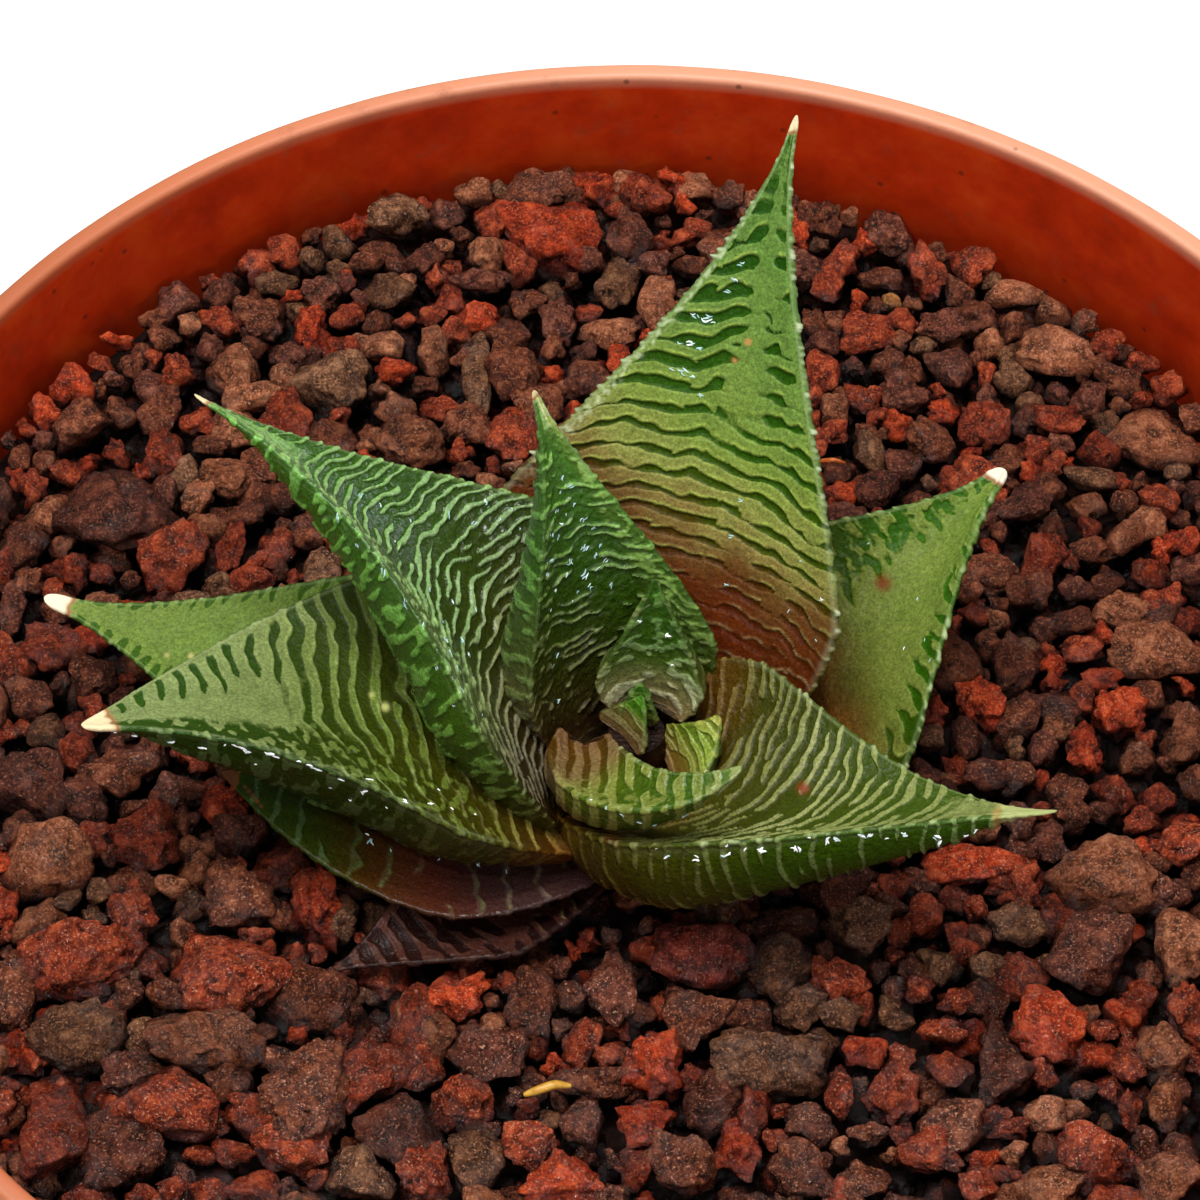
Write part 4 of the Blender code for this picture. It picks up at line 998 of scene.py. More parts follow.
def stone_shape(rng, detail, radii, crumb):
    """One broken lava stone about the origin, with semi-axes radii."""
    points, faces = BALLS[detail]

    # Broken faces, where random planes cut the ball.
    normals = rng.normal(size=(STONE_FACES, 3))
    normals /= np.linalg.norm(normals, axis=1, keepdims=True)
    depth = rng.uniform(0.66, 1.0, STONE_FACES)
    facing = points @ normals.T
    cut = depth / np.maximum(facing, 0.12)
    soft = -np.log(np.exp(-16.0 * np.minimum(cut, 2.0)).sum(1)) / 16.0
    radius = np.clip(soft, 0.45, 1.22)

    # Swells, crumbs, granules and hollows.
    shift = rng.uniform(-50, 50, 3)
    p = points * radius[:, None]
    big = noise(*(p * 1.6 + shift).T)
    mean = float(np.mean(radii))
    q = p * mean + shift
    crumbs = np.zeros(len(points))
    for size, height in ((0.5, 0.16), (1.1, 0.1), (3.4, 0.05)):
        crumbs += height * noise(*(q * size + (0, 0, size)).T)
    for size, height in ((1.25, 0.3), (0.62, 0.16)):
        crumbs += height * (knobs(q, size) - 0.45)
    crumbs -= 0.3 * ease(0.3, 0.62, noise(*(q + (9, 0, 0)).T))
    # knob: how high each granule stands; the colour follows it, partly as painted shade in the pits.
    knob = ease(-0.22, 0.24, crumbs)
    change = 0.13 * big + crumb * crumbs * 1.5 / mean
    p = points * (radius * (1 + change))[:, None]

    # A random turn.
    turn = rng.normal(size=4)
    turn /= np.linalg.norm(turn)
    w, a, b, c = turn
    spin = np.array([
        [1 - 2 * (b * b + c * c), 2 * (a * b - c * w), 2 * (a * c + b * w)],
        [2 * (a * b + c * w), 1 - 2 * (a * a + c * c), 2 * (b * c - a * w)],
        [2 * (a * c - b * w), 2 * (b * c + a * w), 1 - 2 * (a * a + b * b)]])
    return (p @ spin.T) * np.asarray(radii), faces, knob


def headroom_over(grids):
    """Function that gives the lowest leaf point over a stone's footprint."""
    cloud = np.concatenate([grid.reshape(-1, 3) for grid in grids])
    cloud = cloud[cloud[:, 2] < ROOF_TOP]
    cells = round(2 * ROOF_HALF / ROOF_CELL)
    roof = np.full((cells, cells), 1e3)
    spots = tuple(((cloud[:, axis] + ROOF_HALF) / ROOF_CELL).astype(int) for axis in (0, 1))
    np.minimum.at(roof, spots, cloud[:, 2])

    def headroom(x, y, radius):
        lo_x, lo_y = (max(int((v - radius + ROOF_HALF) / ROOF_CELL), 0) for v in (x, y))
        hi_x, hi_y = (int((v + radius + ROOF_HALF) / ROOF_CELL) + 1 for v in (x, y))
        return roof[lo_x:hi_x, lo_y:hi_y].min()

    return headroom


def lay_stones(rng):
    """Places, semi-axes, kinds, lifts and layers of the stones: 0 told apart, 1 fill, 2 below."""
    scale = FOCAL / (EYE[2] - GRIT_LEVEL) * math.sin(EYE_DIP)
    stones = []
    for entry in STONES.replace("\n", " ").split(","):
        *sizes, kind = entry.split()
        px, py, wide, tall = map(float, sizes)
        a, half_tall = wide / scale / 2, tall / scale / 2
        flat = 0.82 * min(a, half_tall)
        deep = math.sqrt(max(half_tall ** 2 - (flat * math.cos(EYE_DIP)) ** 2, 0.2))
        b = deep / math.sin(EYE_DIP)
        lift = rng.uniform(-0.12, 0.45)
        x, y = seen_at(px, py, GRIT_LEVEL)
        x, y = seen_at(px, py, float(grit_height(x, y)) + flat * (lift + 0.25))
        grow = 1.02 if y > 0 else 0.96
        stones.append((x, y, a * grow, b * grow, max(flat, 1.0), kind, lift, 0))
    seen = [(x, y, (a + b) / 2) for x, y, a, b, *_ in stones]
    for attempt in range(FILL_TRIES):
        radius = rng.uniform(1.3, 3.1) if attempt < LARGE_TRIES else rng.uniform(0.8, 1.4)
        angle = rng.uniform(0, math.tau)
        reach = (WALL_CLEAR - radius * 0.75) * math.sqrt(rng.random())
        x, y = reach * math.cos(angle), reach * math.sin(angle)
        near = 0.80 if radius > 2.0 else 0.72
        if all((x - a) ** 2 + (y - b) ** 2 > (near * (radius + c)) ** 2 for a, b, c in seen):
            seen.append((x, y, radius))
            kind = FILL_MIX[int(rng.integers(len(FILL_MIX)))]
            stones.append((x, y, radius * rng.uniform(0.85, 1.2), radius * rng.uniform(0.85, 1.2),
                           radius * 0.9, kind,
                           rng.uniform(-0.35, 0.3) - (0.4 if y < -8 else 0.0), 1))
    step = 3.1
    for i in range(-19, 20):
        for j in range(-19, 20):
            x = i * step + rng.uniform(-1.1, 1.1)
            y = j * step + rng.uniform(-1.1, 1.1)
            if math.hypot(x, y) > WALL_CLEAR - 1.6:
                continue
            radius = rng.uniform(1.3, 2.3)
            kind = FILL_MIX[int(rng.integers(len(FILL_MIX)))]
            stones.append((x, y, radius, radius, radius * 0.85, kind, -1.0, 2))
    return stones


def grit(grids):
    """All stones of the grit's surface, grouped by kind."""
    rng = np.random.default_rng(41)
    headroom = headroom_over(grids)
    groups = {}
    for x, y, a, b, c, kind, lift, layer in lay_stones(rng):
        mean = (a + b + c) / 3
        reach = math.hypot(x, y)
        limit = WALL_CLEAR - max(a, b) * 0.9
        if reach > limit:
            x, y = x * limit / reach, y * limit / reach
        ground = float(grit_height(x, y))
        z = ground + lift * c
        if layer == 2:
            z = ground - 2.3
        over = headroom(x, y, max(a, b) * 0.85)
        lowered = min(z, over - c * 0.95)
        if lowered < ground - 2.4 * c and layer < 2:
            continue
        z = max(lowered, ground - 4.5) if layer == 2 else lowered
        detail = 3
        if layer < 2 and mean > 1.7:
            detail = 5 if mean > 3.0 and y < 10 else 4
        crumb = GRIT_KINDS[kind][5] * rng.uniform(0.7, 1.2)
        points, faces, knob = stone_shape(rng, detail, (a, b, c), crumb)
        points = points + (x, y, z)
        out = np.hypot(points[:, 0], points[:, 1])
        pull = np.minimum(1.0, (STONE_REACH + 0.05 * (points[:, 2] - 84)) / np.maximum(out, 1))
        points[:, :2] *= pull[:, None]
        # Painted light and shade for the colour: lighter towards each stone's top and on faces that look
        # up, dark low down between the stones.
        top = z - ground + c
        high = ease(-1.5, max(1.4, 0.8 * top + 0.3), points[:, 2] - ground)
        face = (points - (x, y, z)) / (a * a, b * b, c * c)
        face = face[:, 2] / np.linalg.norm(face, axis=1)
        high = high * (0.42 + 0.58 * ease(-0.3, 0.75, face))
        lighter = 0.42 * float(ease(12, 40, y)) + float(ease(18, 32, x) * (0.3 * ease(5, -12, y) - 0.15))
        tone = np.full(len(points), rng.uniform(0, 1) * 0.85 + lighter)
        groups.setdefault(kind, []).append((points, faces, tone, high, knob))
    grit_pieces(groups)


def grit_pieces(groups):
    """Join the stones of each kind into pieces."""
    first = True
    for kind, members in groups.items():
        batch, size, part = [], 0, 0
        for member in members + [None]:
            if member is None or size + len(member[1]) > PIECE_LIMIT:
                name = GRIT_KINDS[kind][0] + ("_%d" % part if part else "")
                values = {key: np.concatenate([m[i] for m in batch])
                          for i, key in enumerate(("tone", "high", "knob"), 2)}
                piece = make_mesh(name, *merged([m[:2] for m in batch]), values)
                material = bpy.data.materials.get(GRIT_KINDS[kind][0] + "_look")
                piece.data.materials.append(material or stone_material(kind))
                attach(piece, "root")
                if first:
                    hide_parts("substrate")
                    first = False
                batch, size, part = [], 0, part + 1
            if member is not None:
                batch.append(member)
                size += len(member[1])


def rounded(points, radius):
    """Corner points replaced by short arcs of CORNER_STEPS steps."""
    points = [np.array(p, float) for p in points]
    out = []
    for i, p in enumerate(points):
        before, after = points[i - 1], points[(i + 1) % len(points)]
        a, b = before - p, after - p
        la, lb = np.linalg.norm(a), np.linalg.norm(b)
        cut = min(radius, la * 0.45, lb * 0.45)
        start, end = p + a / la * cut, p + b / lb * cut
        for k in range(CORNER_STEPS + 1):
            s = k / CORNER_STEPS
            out.append((1 - s) ** 2 * start + 2 * s * (1 - s) * p + s * s * end)
    return np.array(out)


def body_radius(z):
    """Outer radius of the body at the height z."""
    return BASE_RADIUS + (BODY_TOP_RADIUS - BASE_RADIUS) * z / BAND_FOOT


def pot_profile(hole_outer):
    """Outline of the wall from the floor over the rim to the foot, in short steps."""
    wall = [
        (hole_outer, FLOOR_TOP), (body_radius(FLOOR_TOP) - WALL, FLOOR_TOP),
        (body_radius(BAND_FOOT - WALL) - WALL, BAND_FOOT - WALL),
        (BAND_FOOT_RADIUS - WALL, BAND_FOOT + 0.6), (RIM_RADIUS - WALL, POT_HEIGHT),
        (RIM_RADIUS, POT_HEIGHT), (BAND_FOOT_RADIUS, BAND_FOOT + 0.2),
        (BAND_FOOT_RADIUS - 0.6, BAND_FOOT - 0.1), (body_radius(BAND_FOOT - 0.6), BAND_FOOT - 0.6),
        (body_radius(0.0), 0.0), (BASE_RADIUS - FOOT_WIDTH, 0.0),
        (BASE_RADIUS - FOOT_WIDTH - 0.6, FOOT_RECESS), (hole_outer, FOOT_RECESS)]
    outline = rounded(wall, CORNER_RADIUS)
    outline[:CORNER_STEPS + 1] = (hole_outer, FLOOR_TOP)
    outline[-CORNER_STEPS - 1:] = (hole_outer, FOOT_RECESS)
    keep = [0]
    for i in range(1, len(outline)):
        if np.linalg.norm(outline[i] - outline[keep[-1]]) > 1e-6:
            keep.append(i)
    outline = outline[keep]
    profile = [outline[0]]
    for i in range(len(outline) - 1):
        p, q = outline[i], outline[i + 1]
        count = max(1, int(math.ceil(np.linalg.norm(q - p) / PROFILE_STEP)))
        for k in range(1, count + 1):
            profile.append(p + (q - p) * k / count)
    return np.array(profile)


def pot():
    """Thin pot with rounded rim, band, foot ring and drain holes."""
    hole_inner, hole_outer = HOLE_CIRCLE - HOLE_MARGIN, HOLE_CIRCLE + HOLE_MARGIN
    profile = pot_profile(hole_outer)
    steps = POT_STEPS
    angles = np.arange(steps) * math.tau / steps
    wob = 0.10 * noise(np.cos(angles) * 1.4, np.sin(angles) * 1.4, 3.1)
    lift = 0.12 * noise(np.cos(angles) * 1.1, np.sin(angles) * 1.1, 8.1)
    r = profile[:, 0][:, None] * np.ones(steps)
    z = profile[:, 1][:, None] * np.ones(steps)
    up = ease(70, 100, z)
    dent = 0.05 * noise(np.cos(angles) * 9 + 0 * z, np.sin(angles) * 9 + 0 * z, z / 9)
    r = r + (wob + dent) * up - 0.10 * up
    z = z + lift * ease(90, 100, z) - 0.12 * ease(90, 100, z)
    grid = np.stack([r * np.cos(angles), r * np.sin(angles), z], axis=-1)
    points = [grid.reshape(-1, 3)]
    index = np.arange(len(profile) * steps).reshape(len(profile), steps)
    nxt = np.roll(index, -1, axis=1)
    quads = [np.stack([index[:-1], nxt[:-1], nxt[1:], index[1:]], axis=-1).reshape(-1, 4)[:, ::-1]]
    total = len(points[0])

    def plate(z_level, faces_up):
        """Floor disc with the drain holes, joined to the wall's ring of points."""
        nonlocal total
        per = steps // HOLE_COUNT
        ring_out = index[0] if faces_up else index[-1]
        inner = [(hole_inner * math.cos(a), hole_inner * math.sin(a), z_level) for a in angles]
        points.append(np.array(inner))
        ring_in = total + np.arange(steps)
        total += steps
        local = []
        hole_rings = []
        for k in range(HOLE_COUNT):
            mid = math.tau * (k + 0.5) / HOLE_COUNT
            cx, cy = HOLE_CIRCLE * math.cos(mid), HOLE_CIRCLE * math.sin(mid)
            a0 = k * per
            outline_out = [ring_out[(a0 + i) % steps] for i in range(per + 1)]
            outline_in = [ring_in[(a0 + i) % steps] for i in range(per + 1)]
            loop = outline_out + outline_in[::-1]
            coords = np.concatenate([p for p in points])[loop]
            bearing = np.arctan2(coords[:, 1] - cy, coords[:, 0] - cx)
            ring = np.stack([cx + HOLE_RADIUS * np.cos(bearing), cy + HOLE_RADIUS * np.sin(bearing),
                             np.full(len(loop), z_level)], axis=-1)
            points.append(ring)
            ids = total + np.arange(len(loop))
            total += len(loop)
            hole_rings.append(ids)
            for i in range(len(loop)):
                j = (i + 1) % len(loop)
                local.append((loop[i], loop[j], ids[j], ids[i]))
        points.append(np.array([[0.0, 0.0, z_level]]))
        middle = total
        total += 1
        for i in range(steps):
            local.append((ring_in[i], ring_in[(i + 1) % steps], middle, middle))
        local = np.array(local)
        quads.append(local if faces_up else local[:, ::-1])
        return hole_rings

    top = plate(FLOOR_TOP, True)
    bottom = plate(FOOT_RECESS, False)
    bores = []
    for a, b in zip(top, bottom):
        for i in range(len(a)):
            j = (i + 1) % len(a)
            bores.append((a[i], a[j], b[j], b[i]))
    quads.append(np.array(bores))
    quads = np.concatenate(quads)
    tris = np.concatenate([quads[:, [0, 1, 2]], quads[:, [0, 2, 3]]])
    good = (tris[:, 0] != tris[:, 1]) & (tris[:, 1] != tris[:, 2]) & (tris[:, 0] != tris[:, 2])
    thing = make_mesh("pot_fine", np.concatenate(points), tris[good], {})
    thing.data.set_sharp_from_angle(angle=math.radians(40))
    thing.data.materials.append(pot_material())
    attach(thing, "root")
    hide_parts("pot")


def pot_material():
    """Mottled orange-brown plastic; inside a deeper red that darkens towards the grit, painted shade and
    bounced light of the inner wall; the rim top paler, a painted highlight, and darker to the left,
    painted shade.
    """
    g = Graph("pot_plastic")
    across, _, height = g.axes()
    cloud = g.noise(9.0, 4.0, 0.6)
    smear = g.noise(2.2, 5.0, 0.65)
    base = g.ramp(cloud, "0.3 b0461e, 0.55 bb4c22, 0.75 c25628")
    flat = g.add("VectorMath", g.coords, (1.0, 1.0, 0.0), operation="MULTIPLY").outputs[0]
    reach = g.add("VectorMath", flat, operation="LENGTH").outputs["Value"]
    slope = (RIM_RADIUS - BAND_FOOT_RADIUS) / BAND_HEIGHT
    level = BAND_FOOT * MM
    band_line = g.math("MULTIPLY_ADD", height, slope,
                       (BAND_FOOT_RADIUS - WALL * 0.5) * MM - level * slope)
    slope = (BODY_TOP_RADIUS - BASE_RADIUS) / BAND_FOOT
    body_line = g.math("MULTIPLY_ADD", height, slope, (BASE_RADIUS - WALL * 0.5) * MM)
    in_band = g.span(height, level - 0.0011, level + 0.0006, 0.0, 1.0)
    middle = g.math("MULTIPLY_ADD", g.math("SUBTRACT", band_line, body_line), in_band, body_line)
    inside_edge = g.math("SUBTRACT", middle, reach)
    inner = g.span(inside_edge, -0.0002, 0.0002, 0.0, 1.0)
    # Painted shade: the inner wall gets a deeper, redder copy of the colour, darker towards the grit.
    shaded_inner_colour = g.ramp(g.noise(5.0, 5.0, 0.65), "0.3 b82a04, 0.5 d43606, 0.72 e04a10")
    low = g.span(height, 0.0865, 0.0935, 0.62, 1.0)
    shaded_inner_colour = g.mix(1.0, shaded_inner_colour, g.joined(low, low, low), "MULTIPLY")
    base = g.mix(inner, base, shaded_inner_colour)
    # Painted highlight on the rim top, paler to the right and darker to the left as painted shade.
    lip = g.span(height, 0.0985, 0.0997, 0.0, 1.0)
    rim_highlight_colour = g.ramp(g.span(across, -0.06, 0.0, 0.0, 1.0), "0 94502c, 0.45 c87a54, 1 e4a280")
    base = g.mix(g.times(lip, 0.9), base, rim_highlight_colour)
    base = g.mix(g.span(smear, 0.58, 0.74, 0.0, 0.35), base, "8a4a30")
    specks = g.cells(3.2)
    base = g.mix(g.span(specks, 0.05, 0.10, 0.6, 0.0), base, "4a2418")
    g.feed("Base Color", base)
    g.feed("Roughness", g.span(smear, 0.3, 0.7, 0.36, 0.56))
    g.feed("Specular IOR Level", 0.35)
    one = g.bump(g.noise(0.6, 3.0), 0.03, 0.5)
    two = g.bump(g.noise(7.0, 2.0), 0.25, 0.4, one)
    g.feed("Normal", two)
    return g.material


def shaded_bed_material():
    """Dull, damp fine grit, painted near-black as the shade in the gaps between the stones."""
    g = Graph("grit_bed_painted_shade_look")
    # Painted shade: a near-black colour for the gaps between the stones.
    g.feed("Base Color", g.ramp(g.noise(0.8, 5.0, 0.7), "0.3 0c0403, 0.55 1c0a06, 0.75 30130a"))
    g.feed("Roughness", g.span(g.noise(1.5, 3.0), 0.35, 0.65, 0.6, 0.9))
    g.feed("Specular IOR Level", 0.15)
    g.feed("Normal", g.bump(g.noise(0.4, 4.0, 0.7), 0.3, 0.9))
    return g.material


def bed():
    """Packed fine grit that the stones lie in, filling the pot."""
    steps = 180
    reach = np.linspace(0.4, BED_REACH, 60)[:, None]
    angles = (np.arange(steps) * math.tau / steps)[None, :]
    x, y = reach * np.cos(angles), reach * np.sin(angles)
    z = grit_height(x, y) - BED_DEPTH + 0.6 * noise(x / 2.2, y / 2.2, 1.0) + 0.3 * noise(x, y, 4.0)
    wall = np.where(z > BAND_FOOT + 0.8, BAND_FOOT_RADIUS, body_radius(np.minimum(z, BAND_FOOT) - 1.2))
    pull = np.minimum(1.0, (wall - WALL - 0.3) / reach)
    top = np.stack([x * pull, y * pull, z], axis=-1)
    sides = []
    for radius, level in ((body_radius(BAND_FOOT - 3) - WALL - 0.4, BAND_FOOT - 3),
                          (body_radius(40) - WALL - 0.4, 40.0),
                          (body_radius(FLOOR_TOP + 2.0) - WALL - 0.4, FLOOR_TOP + 2.0),
                          (body_radius(FLOOR_TOP) - WALL - 2.4, FLOOR_TOP + 0.35),
                          (0.4, FLOOR_TOP + 0.35)):
        sides.append(np.stack([radius * np.cos(angles[0]), radius * np.sin(angles[0]),
                               np.full(steps, level)], axis=-1))
    grid = np.concatenate([top, np.array(sides)])
    flat, tris = tube(grid, grid[0].mean(0), grid[-1].mean(0))
    thing = make_mesh("grit_bed", flat, tris[:, ::-1], {})
    thing.data.materials.append(shaded_bed_material())
    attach(thing, "root")
    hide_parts("substrate")


def stem_look():
    """Damp tissue on the short stem, its brown taken near-black as painted shade deep in the heart of the
    rosette.
    """
    g = Graph("stem_look")
    # Painted shade: the stem's brown taken near-black for the shade in the heart.
    g.feed("Base Color", g.ramp(g.noise(0.8, 4.0), "0.3 100604, 0.6 200e06, 0.8 38200f"))
    g.feed("Roughness", g.span(g.noise(0.6, 3.0), 0.3, 0.7, 0.15, 0.3))
    g.feed("Specular IOR Level", 0.12)
    g.feed("Normal", g.bump(g.noise(0.3, 3.0), 0.1, 0.8))
    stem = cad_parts["stem"]
    stem.data.materials.clear()
    stem.data.materials.append(g.material)


def thread_material(name, tones):
    """Dry fibre in two tones."""
    g = Graph(name)
    g.feed("Base Color", g.ramp(g.noise(0.6, 3.0), f"0.3 {tones[0]}, 0.7 {tones[1]}"))
    g.feed("Roughness", g.span(g.noise(0.5, 2.0), 0.3, 0.7, 0.3, 0.5))
    g.feed("Normal", g.bump(g.noise(0.2, 2.0), 0.04, 0.5))
    return g.material


def thread(name, path, radius, tones):
    """Small round fragment that tapers to its ends along a path."""
    path = np.array(path, float)
    fine = np.linspace(0, len(path) - 1, 28)
    centre = np.column_stack([np.interp(fine, np.arange(len(path)), path[:, i]) for i in range(3)])
    for _ in range(6):
        centre[1:-1] = (centre[:-2] + 2 * centre[1:-1] + centre[2:]) / 4
    along = np.gradient(centre, axis=0)
    along /= np.linalg.norm(along, axis=1, keepdims=True)
    side = np.cross(along, (0.0, 0.0, 1.0))
    side /= np.linalg.norm(side, axis=1, keepdims=True)
    up = np.cross(side, along)
    share = np.sin(np.linspace(0.08, 0.95, len(centre)) * math.pi) ** 0.5
    angles = np.arange(12) * math.tau / 12
    ring = (centre[:, None] + radius * share[:, None, None] * (
        side[:, None] * np.cos(angles)[None, :, None] + up[:, None] * np.sin(angles)[None, :, None]))
    thing = make_mesh(name, *tube(ring, centre[0], centre[-1]), {})
    thing.data.materials.append(thread_material(name + "_look", tones))
    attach(thing, "root")


def at(px, py, z):
    """World point of a spot seen in the picture, at the height z."""
    return (*seen_at(px, py, z), z)


def camera():
    """Square view from EYE."""
    data = bpy.data.cameras.new("view")
    data.lens = FOCAL / (2 * MIDDLE) * SENSOR
    data.sensor_width = SENSOR
    data.clip_start = 0.01
    data.clip_end = 10
    view = bpy.data.objects.new("view", data)
    view.location = Vector(EYE) * MM
    view.rotation_euler = (math.pi / 2 - EYE_DIP, 0, 0)
    bpy.context.scene.collection.objects.link(view)
    bpy.context.scene.camera = view
    bpy.context.scene.view_settings.view_transform = "Standard"


def lights():
    """Faint even sky, and large soft lamps above and around."""
    world = bpy.data.worlds.new("studio")
    world.use_nodes = True
    world.node_tree.nodes["Background"].inputs[0].default_value = (0.95, 0.98, 1.0, 1)
    world.node_tree.nodes["Background"].inputs[1].default_value = 0.11
    bpy.context.scene.world = world
    # Name, place, aim, width, strength and tint of each lamp, in metres and watts.
    lamps = (
        ("key", (-0.14, 0.04, 0.86), (0, 0, 0.09), 0.44, 5.4, (1.0, 0.98, 0.95)),
        ("window", (0.05, 0.02, 0.86), (0, 0, 0.09), 0.05, 1.9, (1.0, 1.0, 1.0)),
        ("back_sky", (0.62, 0.62, 0.24), (0, 0, 0.1), 0.30, 1.4, (0.8, 0.9, 1.0)),
        ("right_window", (0.53, -0.53, 0.5), (0, 0, 0.1), 0.06, 0.6, (0.95, 0.98, 1.0)),
        ("side_window", (-0.26, -0.24, 0.8), (0, 0, 0.09), 0.05, 1.1, (0.95, 0.98, 1.0)),
        ("front", (0.12, -0.62, 0.55), (0, 0, 0.09), 0.40, 0.9, (1.0, 0.98, 0.95)),
    )
    for name, spot, aim, size, power, tone in lamps:
        light = bpy.data.lights.new(name, "AREA")
        light.shape = "RECTANGLE"
        light.size = size
        light.size_y = size * 1.3
        light.energy = power
        light.color = tone
        lamp = bpy.data.objects.new(name, light)
        lamp.location = spot
        lamp.rotation_euler = (Vector(aim) - Vector(spot)).to_track_quat("-Z", "Y").to_euler()
        bpy.context.scene.collection.objects.link(lamp)


def floor_material():
    """Near-white, faintly glowing backdrop."""
    g = Graph("floor_look")
    g.feed("Base Color", g.ramp(g.noise(400.0, 2.0), "0.3 fbfaf6, 0.7 ffffff"))
    g.feed("Roughness", 0.9)
    g.feed("Emission Color", (1.0, 1.0, 1.0, 1.0))
    g.feed("Emission Strength", 0.3)
    return g.material


def floor():
    """Wide, pale surface that the pot stands on."""
    corners = [(-1, -1, 0), (1, -1, 0), (1, 1, 0), (-1, 1, 0)]
    thing = make_mesh("floor", FLOOR_REACH * np.array(corners), np.array([[0, 1, 2, 3]]), {})
    thing.data.materials.append(floor_material())


# Places in the picture where painted glints of water lie on a leaf, with a size for each, and how the
# strokes lie there: an angle in the picture or None for any.
GLINT_SPOTS = {
    "leaf_left": (None, "115 737 .6, 133 740 .8, 172 742 1, 203 748 1.1, 226 745 .6, 241 746 2.4, "
        "246 751 1.6, 273 755 2.2, 268 753 1.3, 300 760 .5, 313 767 1.9, 343 780 .9, 362 793 1, "
        "369 780 .8, 387 808 .5, 405 801 1, 428 804 1, 440 790 .6, 452 808 .5, 476 817 .6, 350 800 .5, "
        "255 765 .4, 330 788 .4"),
    "leaf_right_front": (None, "669 858 .9, 696 860 1, 727 858 1.3, 745 850 .5, 761 853 1.5, "
        "794 849 1.4, 826 841 1.2, 836 841 1, 860 836 1.1, 871 836 1, 888 838 .5, 905 836 1.3, "
        "935 837 2.1, 938 844 1.2, 966 836 .7, 976 830 .9, 727 847 .7, 810 838 .4, 655 850 .5"),
    "leaf_left_upper": (80, "337 517 1.1, 383 570 1.4, 404 603 1.3, 357 546 .7, 359 495 1.2, "
        "474 524 .9, 448 515 1, 486 502 1, 424 625 .8, 439 668 .9, 447 640 1, 452 655 1.1, 458 668 1, "
        "444 622 .9, 463 640 .9, 470 655 1, 452 600 .8, 440 605 .8, 475 610 .7, 462 690 1.1, 472 702 1, "
        "482 715 .9, 455 705 .7, 430 590 .6, 489 640 .6, 500 520 .6, 512 508 .6, 396 540 .5, "
        "380 505 .7, 520 530 .5, 410 520 .5"),
    "leaf_centre": (60, "563 478 .8, 560 492 .9, 556 511 1, 562 524 .8, 558 538 .7, 566 515 .6, "
        "575 505 .8, 583 520 1, 592 528 .9, 601 545 .9, 595 556 1, 606 560 .8, 570 560 1.2, 566 575 .9, "
        "585 575 1.3, 590 586 .9, 577 592 .6, 598 570 .8, 583 548 1, 612 585 .7, 571 486 .8, "
        "552 535 .8, 549 575 .9, 556 655 .9, 552 668 .7, 560 700 .8, 556 590 .7, 572 600 .6, "
        "560 620 .7, 566 640 .6, 552 560 .7, 551 610 .5, 588 548 .9"),
    "leaf_back": (-15, "742 263 .9, 735 280 1.1, 728 292 .8, 705 318 1.6, 696 314 1.2, 712 321 1, "
        "690 345 1.6, 700 349 1.2, 680 343 .9, 684 372 1.3, 694 378 .9, 672 369 .8, 700 395 .8, "
        "822 600 .7, 815 640 .6, 740 500 .7, 730 537 .8, 787 612 .6, 800 560 .5, 727 585 .9"),
    "leaf_inner_front": (0, "590 800 .6, 606 808 .8, 622 816 .6, 640 822 .8, 656 826 .9, 688 820 .7"),
    "leaf_inner_back": (None, "640 620 .7, 668 635 1, 655 650 .5, 672 665 .5"),
    "leaf_left_lower": (80, "390 850 .6, 371 842 1.2, 368 835 .6, 440 858 .5, 478 864 .7, 505 872 .6"),
    "leaf_right_rear": (80, "905 648 .5, 918 600 .6, 925 640 .6, 870 545 .6, 930 660 .4"),
}


def painted_glint_material():
    """Painted glints: beads of water coloured white to pale blue and glowing, as painted reflections of
    the lamps and sky.
    """
    g = Graph("painted_glint_look")
    cool = g.value("cool")
    base = g.ramp(cool, "0.2 ffffff, 0.8 a0c8cc")
    base = g.mix(g.span(g.noise(0.5, 2.0), 0.35, 0.7, 0.0, 0.3), base, "c8e0d8")
    g.feed("Base Color", base)
    # The glow is painted light; the white beads glow most.
    g.feed("Emission Color", base)
    g.feed("Emission Strength", g.span(cool, 0.2, 0.9, 0.45, 0.1))
    g.feed("Roughness", 0.08)
    return g.material


def outward(grid):
    """Unit normals of a leaf's points, away from its middle."""
    normal = np.cross(np.gradient(grid, axis=1), np.gradient(grid, axis=0))
    normal /= np.maximum(np.linalg.norm(normal, axis=2, keepdims=True), 1e-9)
    middle = grid.mean(1, keepdims=True)
    return normal * np.sign((normal * (grid - middle)).sum(2, keepdims=True).mean())


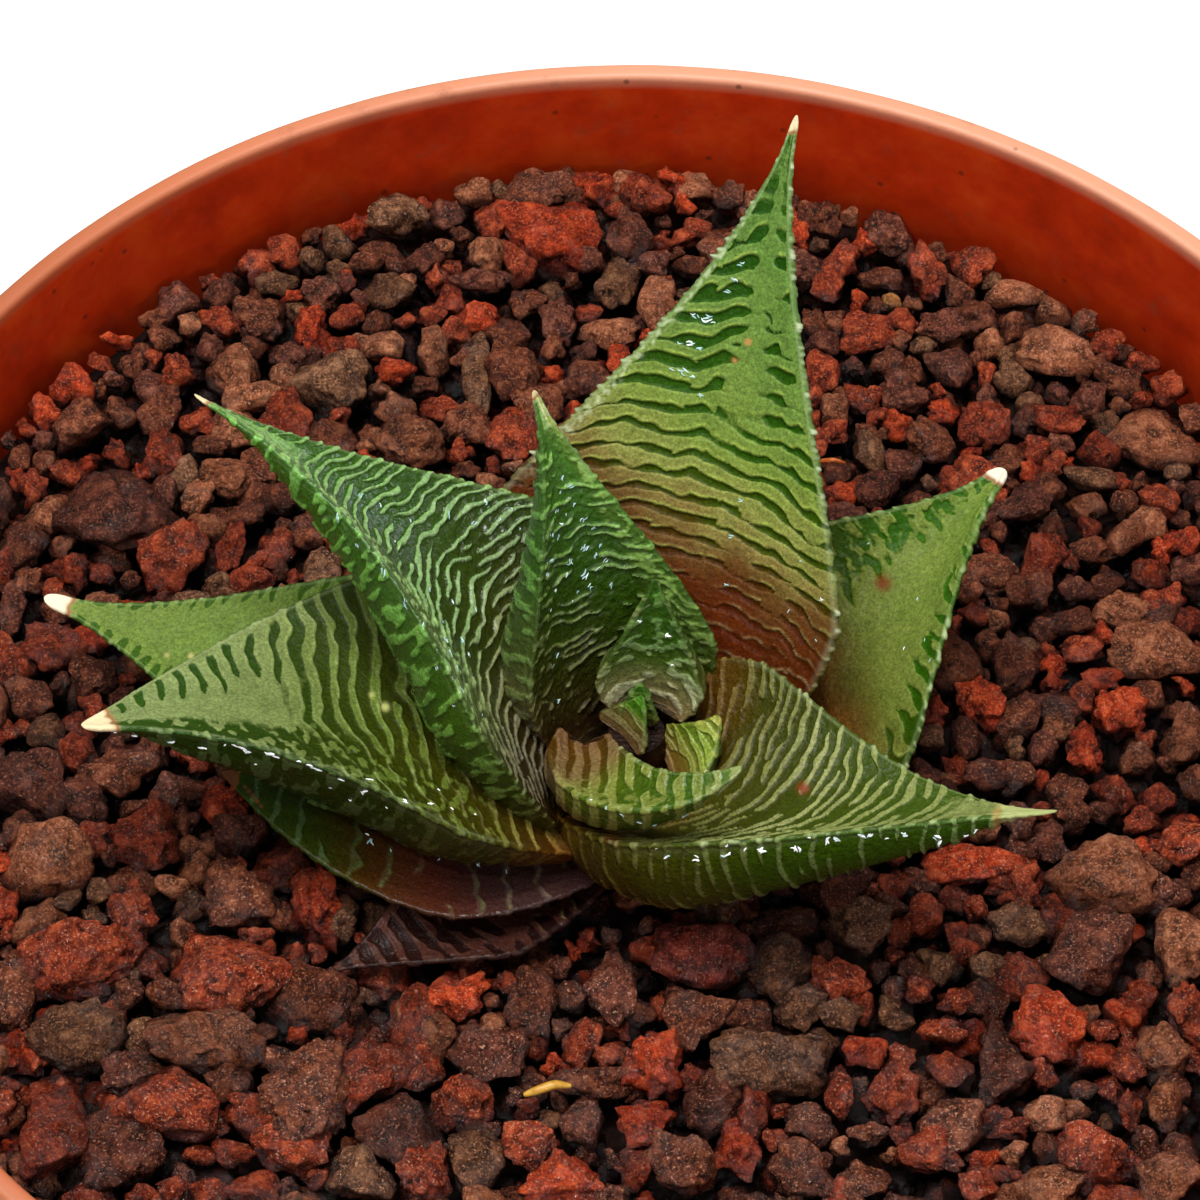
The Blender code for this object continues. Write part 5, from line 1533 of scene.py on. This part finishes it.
def lay_painted_glints(grids):
    """Small irregular beads of water on the leaves, coloured and glowing as painted glints."""
    rng = np.random.default_rng(5)
    shape, faces = BALLS[3]
    batch, cools = [], []
    for name, grid in grids.items():
        if name not in GLINT_SPOTS:
            continue
        lie, listed = GLINT_SPOTS[name]
        normal = outward(grid)
        facing = (normal * (np.array(EYE) - grid)).sum(2) > 0
        px, py = seen_spot(grid)
        for entry in listed.split(","):
            sx, sy, size = (float(v) for v in entry.split())
            gap = np.where(facing, (px - sx) ** 2 + (py - sy) ** 2, 1e9)
            i, j = np.unravel_index(int(gap.argmin()), gap.shape)
            if gap[i, j] > 100:
                continue
            up = normal[i, j]
            for _ in range(3 if size > 0.95 else 2 if size > 0.65 else 1):
                if lie is None:
                    angle = rng.uniform(0, math.pi)
                else:
                    angle = math.radians(lie + rng.normal() * 22)
                a = (np.array((1.0, 0.0, 0.0)) * math.cos(angle)
                     + np.array((0.0, math.sin(EYE_DIP), math.cos(EYE_DIP))) * math.sin(angle))
                a = a - up * (a @ up)
                a /= max(np.linalg.norm(a), 1e-9)
                b = np.cross(up, a)
                long = (0.09 + 0.13 * size) * rng.uniform(0.7, 1.2)
                wide = (0.035 + 0.03 * size) * rng.uniform(0.8, 1.2) * (0.75 if lie else 1.0)
                seat = grid[i, j] + a * rng.normal() * 0.1 * size + b * rng.normal() * 0.1 * size
                shift = (i, j, len(batch) * len(shape))
                q = shape * (1 + 0.3 * noise(*(shape * 1.7 + shift).T)[:, None])
                bend = (q[:, :1] ** 2 - 0.4) * rng.normal() * 0.35 * long
                q = (seat + q[:, :1] * a * long + (q[:, 1:2] * wide + bend) * b
                     + q[:, 2:] * up * wide * 0.8)
                batch.append((q, faces))
                cools.append(np.full(len(q), (0.25 if lie is None else 0.75) + rng.normal() * 0.2))
    thing = make_mesh("painted_glint_beads", *merged(batch), {"cool": np.concatenate(cools)})
    thing.data.materials.append(painted_glint_material())
    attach(thing, "root")


camera()
lights()
floor()
pot()
grids = {name: leaf_piece(name) for name in LEAVES}
lay_painted_glints(grids)
grit(list(grids.values()))
bed()
stem_look()
top = GRIT_LEVEL + 2.2
thread("straw_bit", [at(524, 1095, top), at(538, 1090, top + 0.4), at(556, 1084, top + 0.5),
                     at(571, 1086, top + 0.2)], 0.33, ("b07820", "e8b850"))
thread("orange_fibre", [at(812, 468, 88.5), at(822, 461, 90.5), at(834, 460, 91.0),
                        at(845, 463, 90.2)], 0.2, ("b0501c", "e08040"))
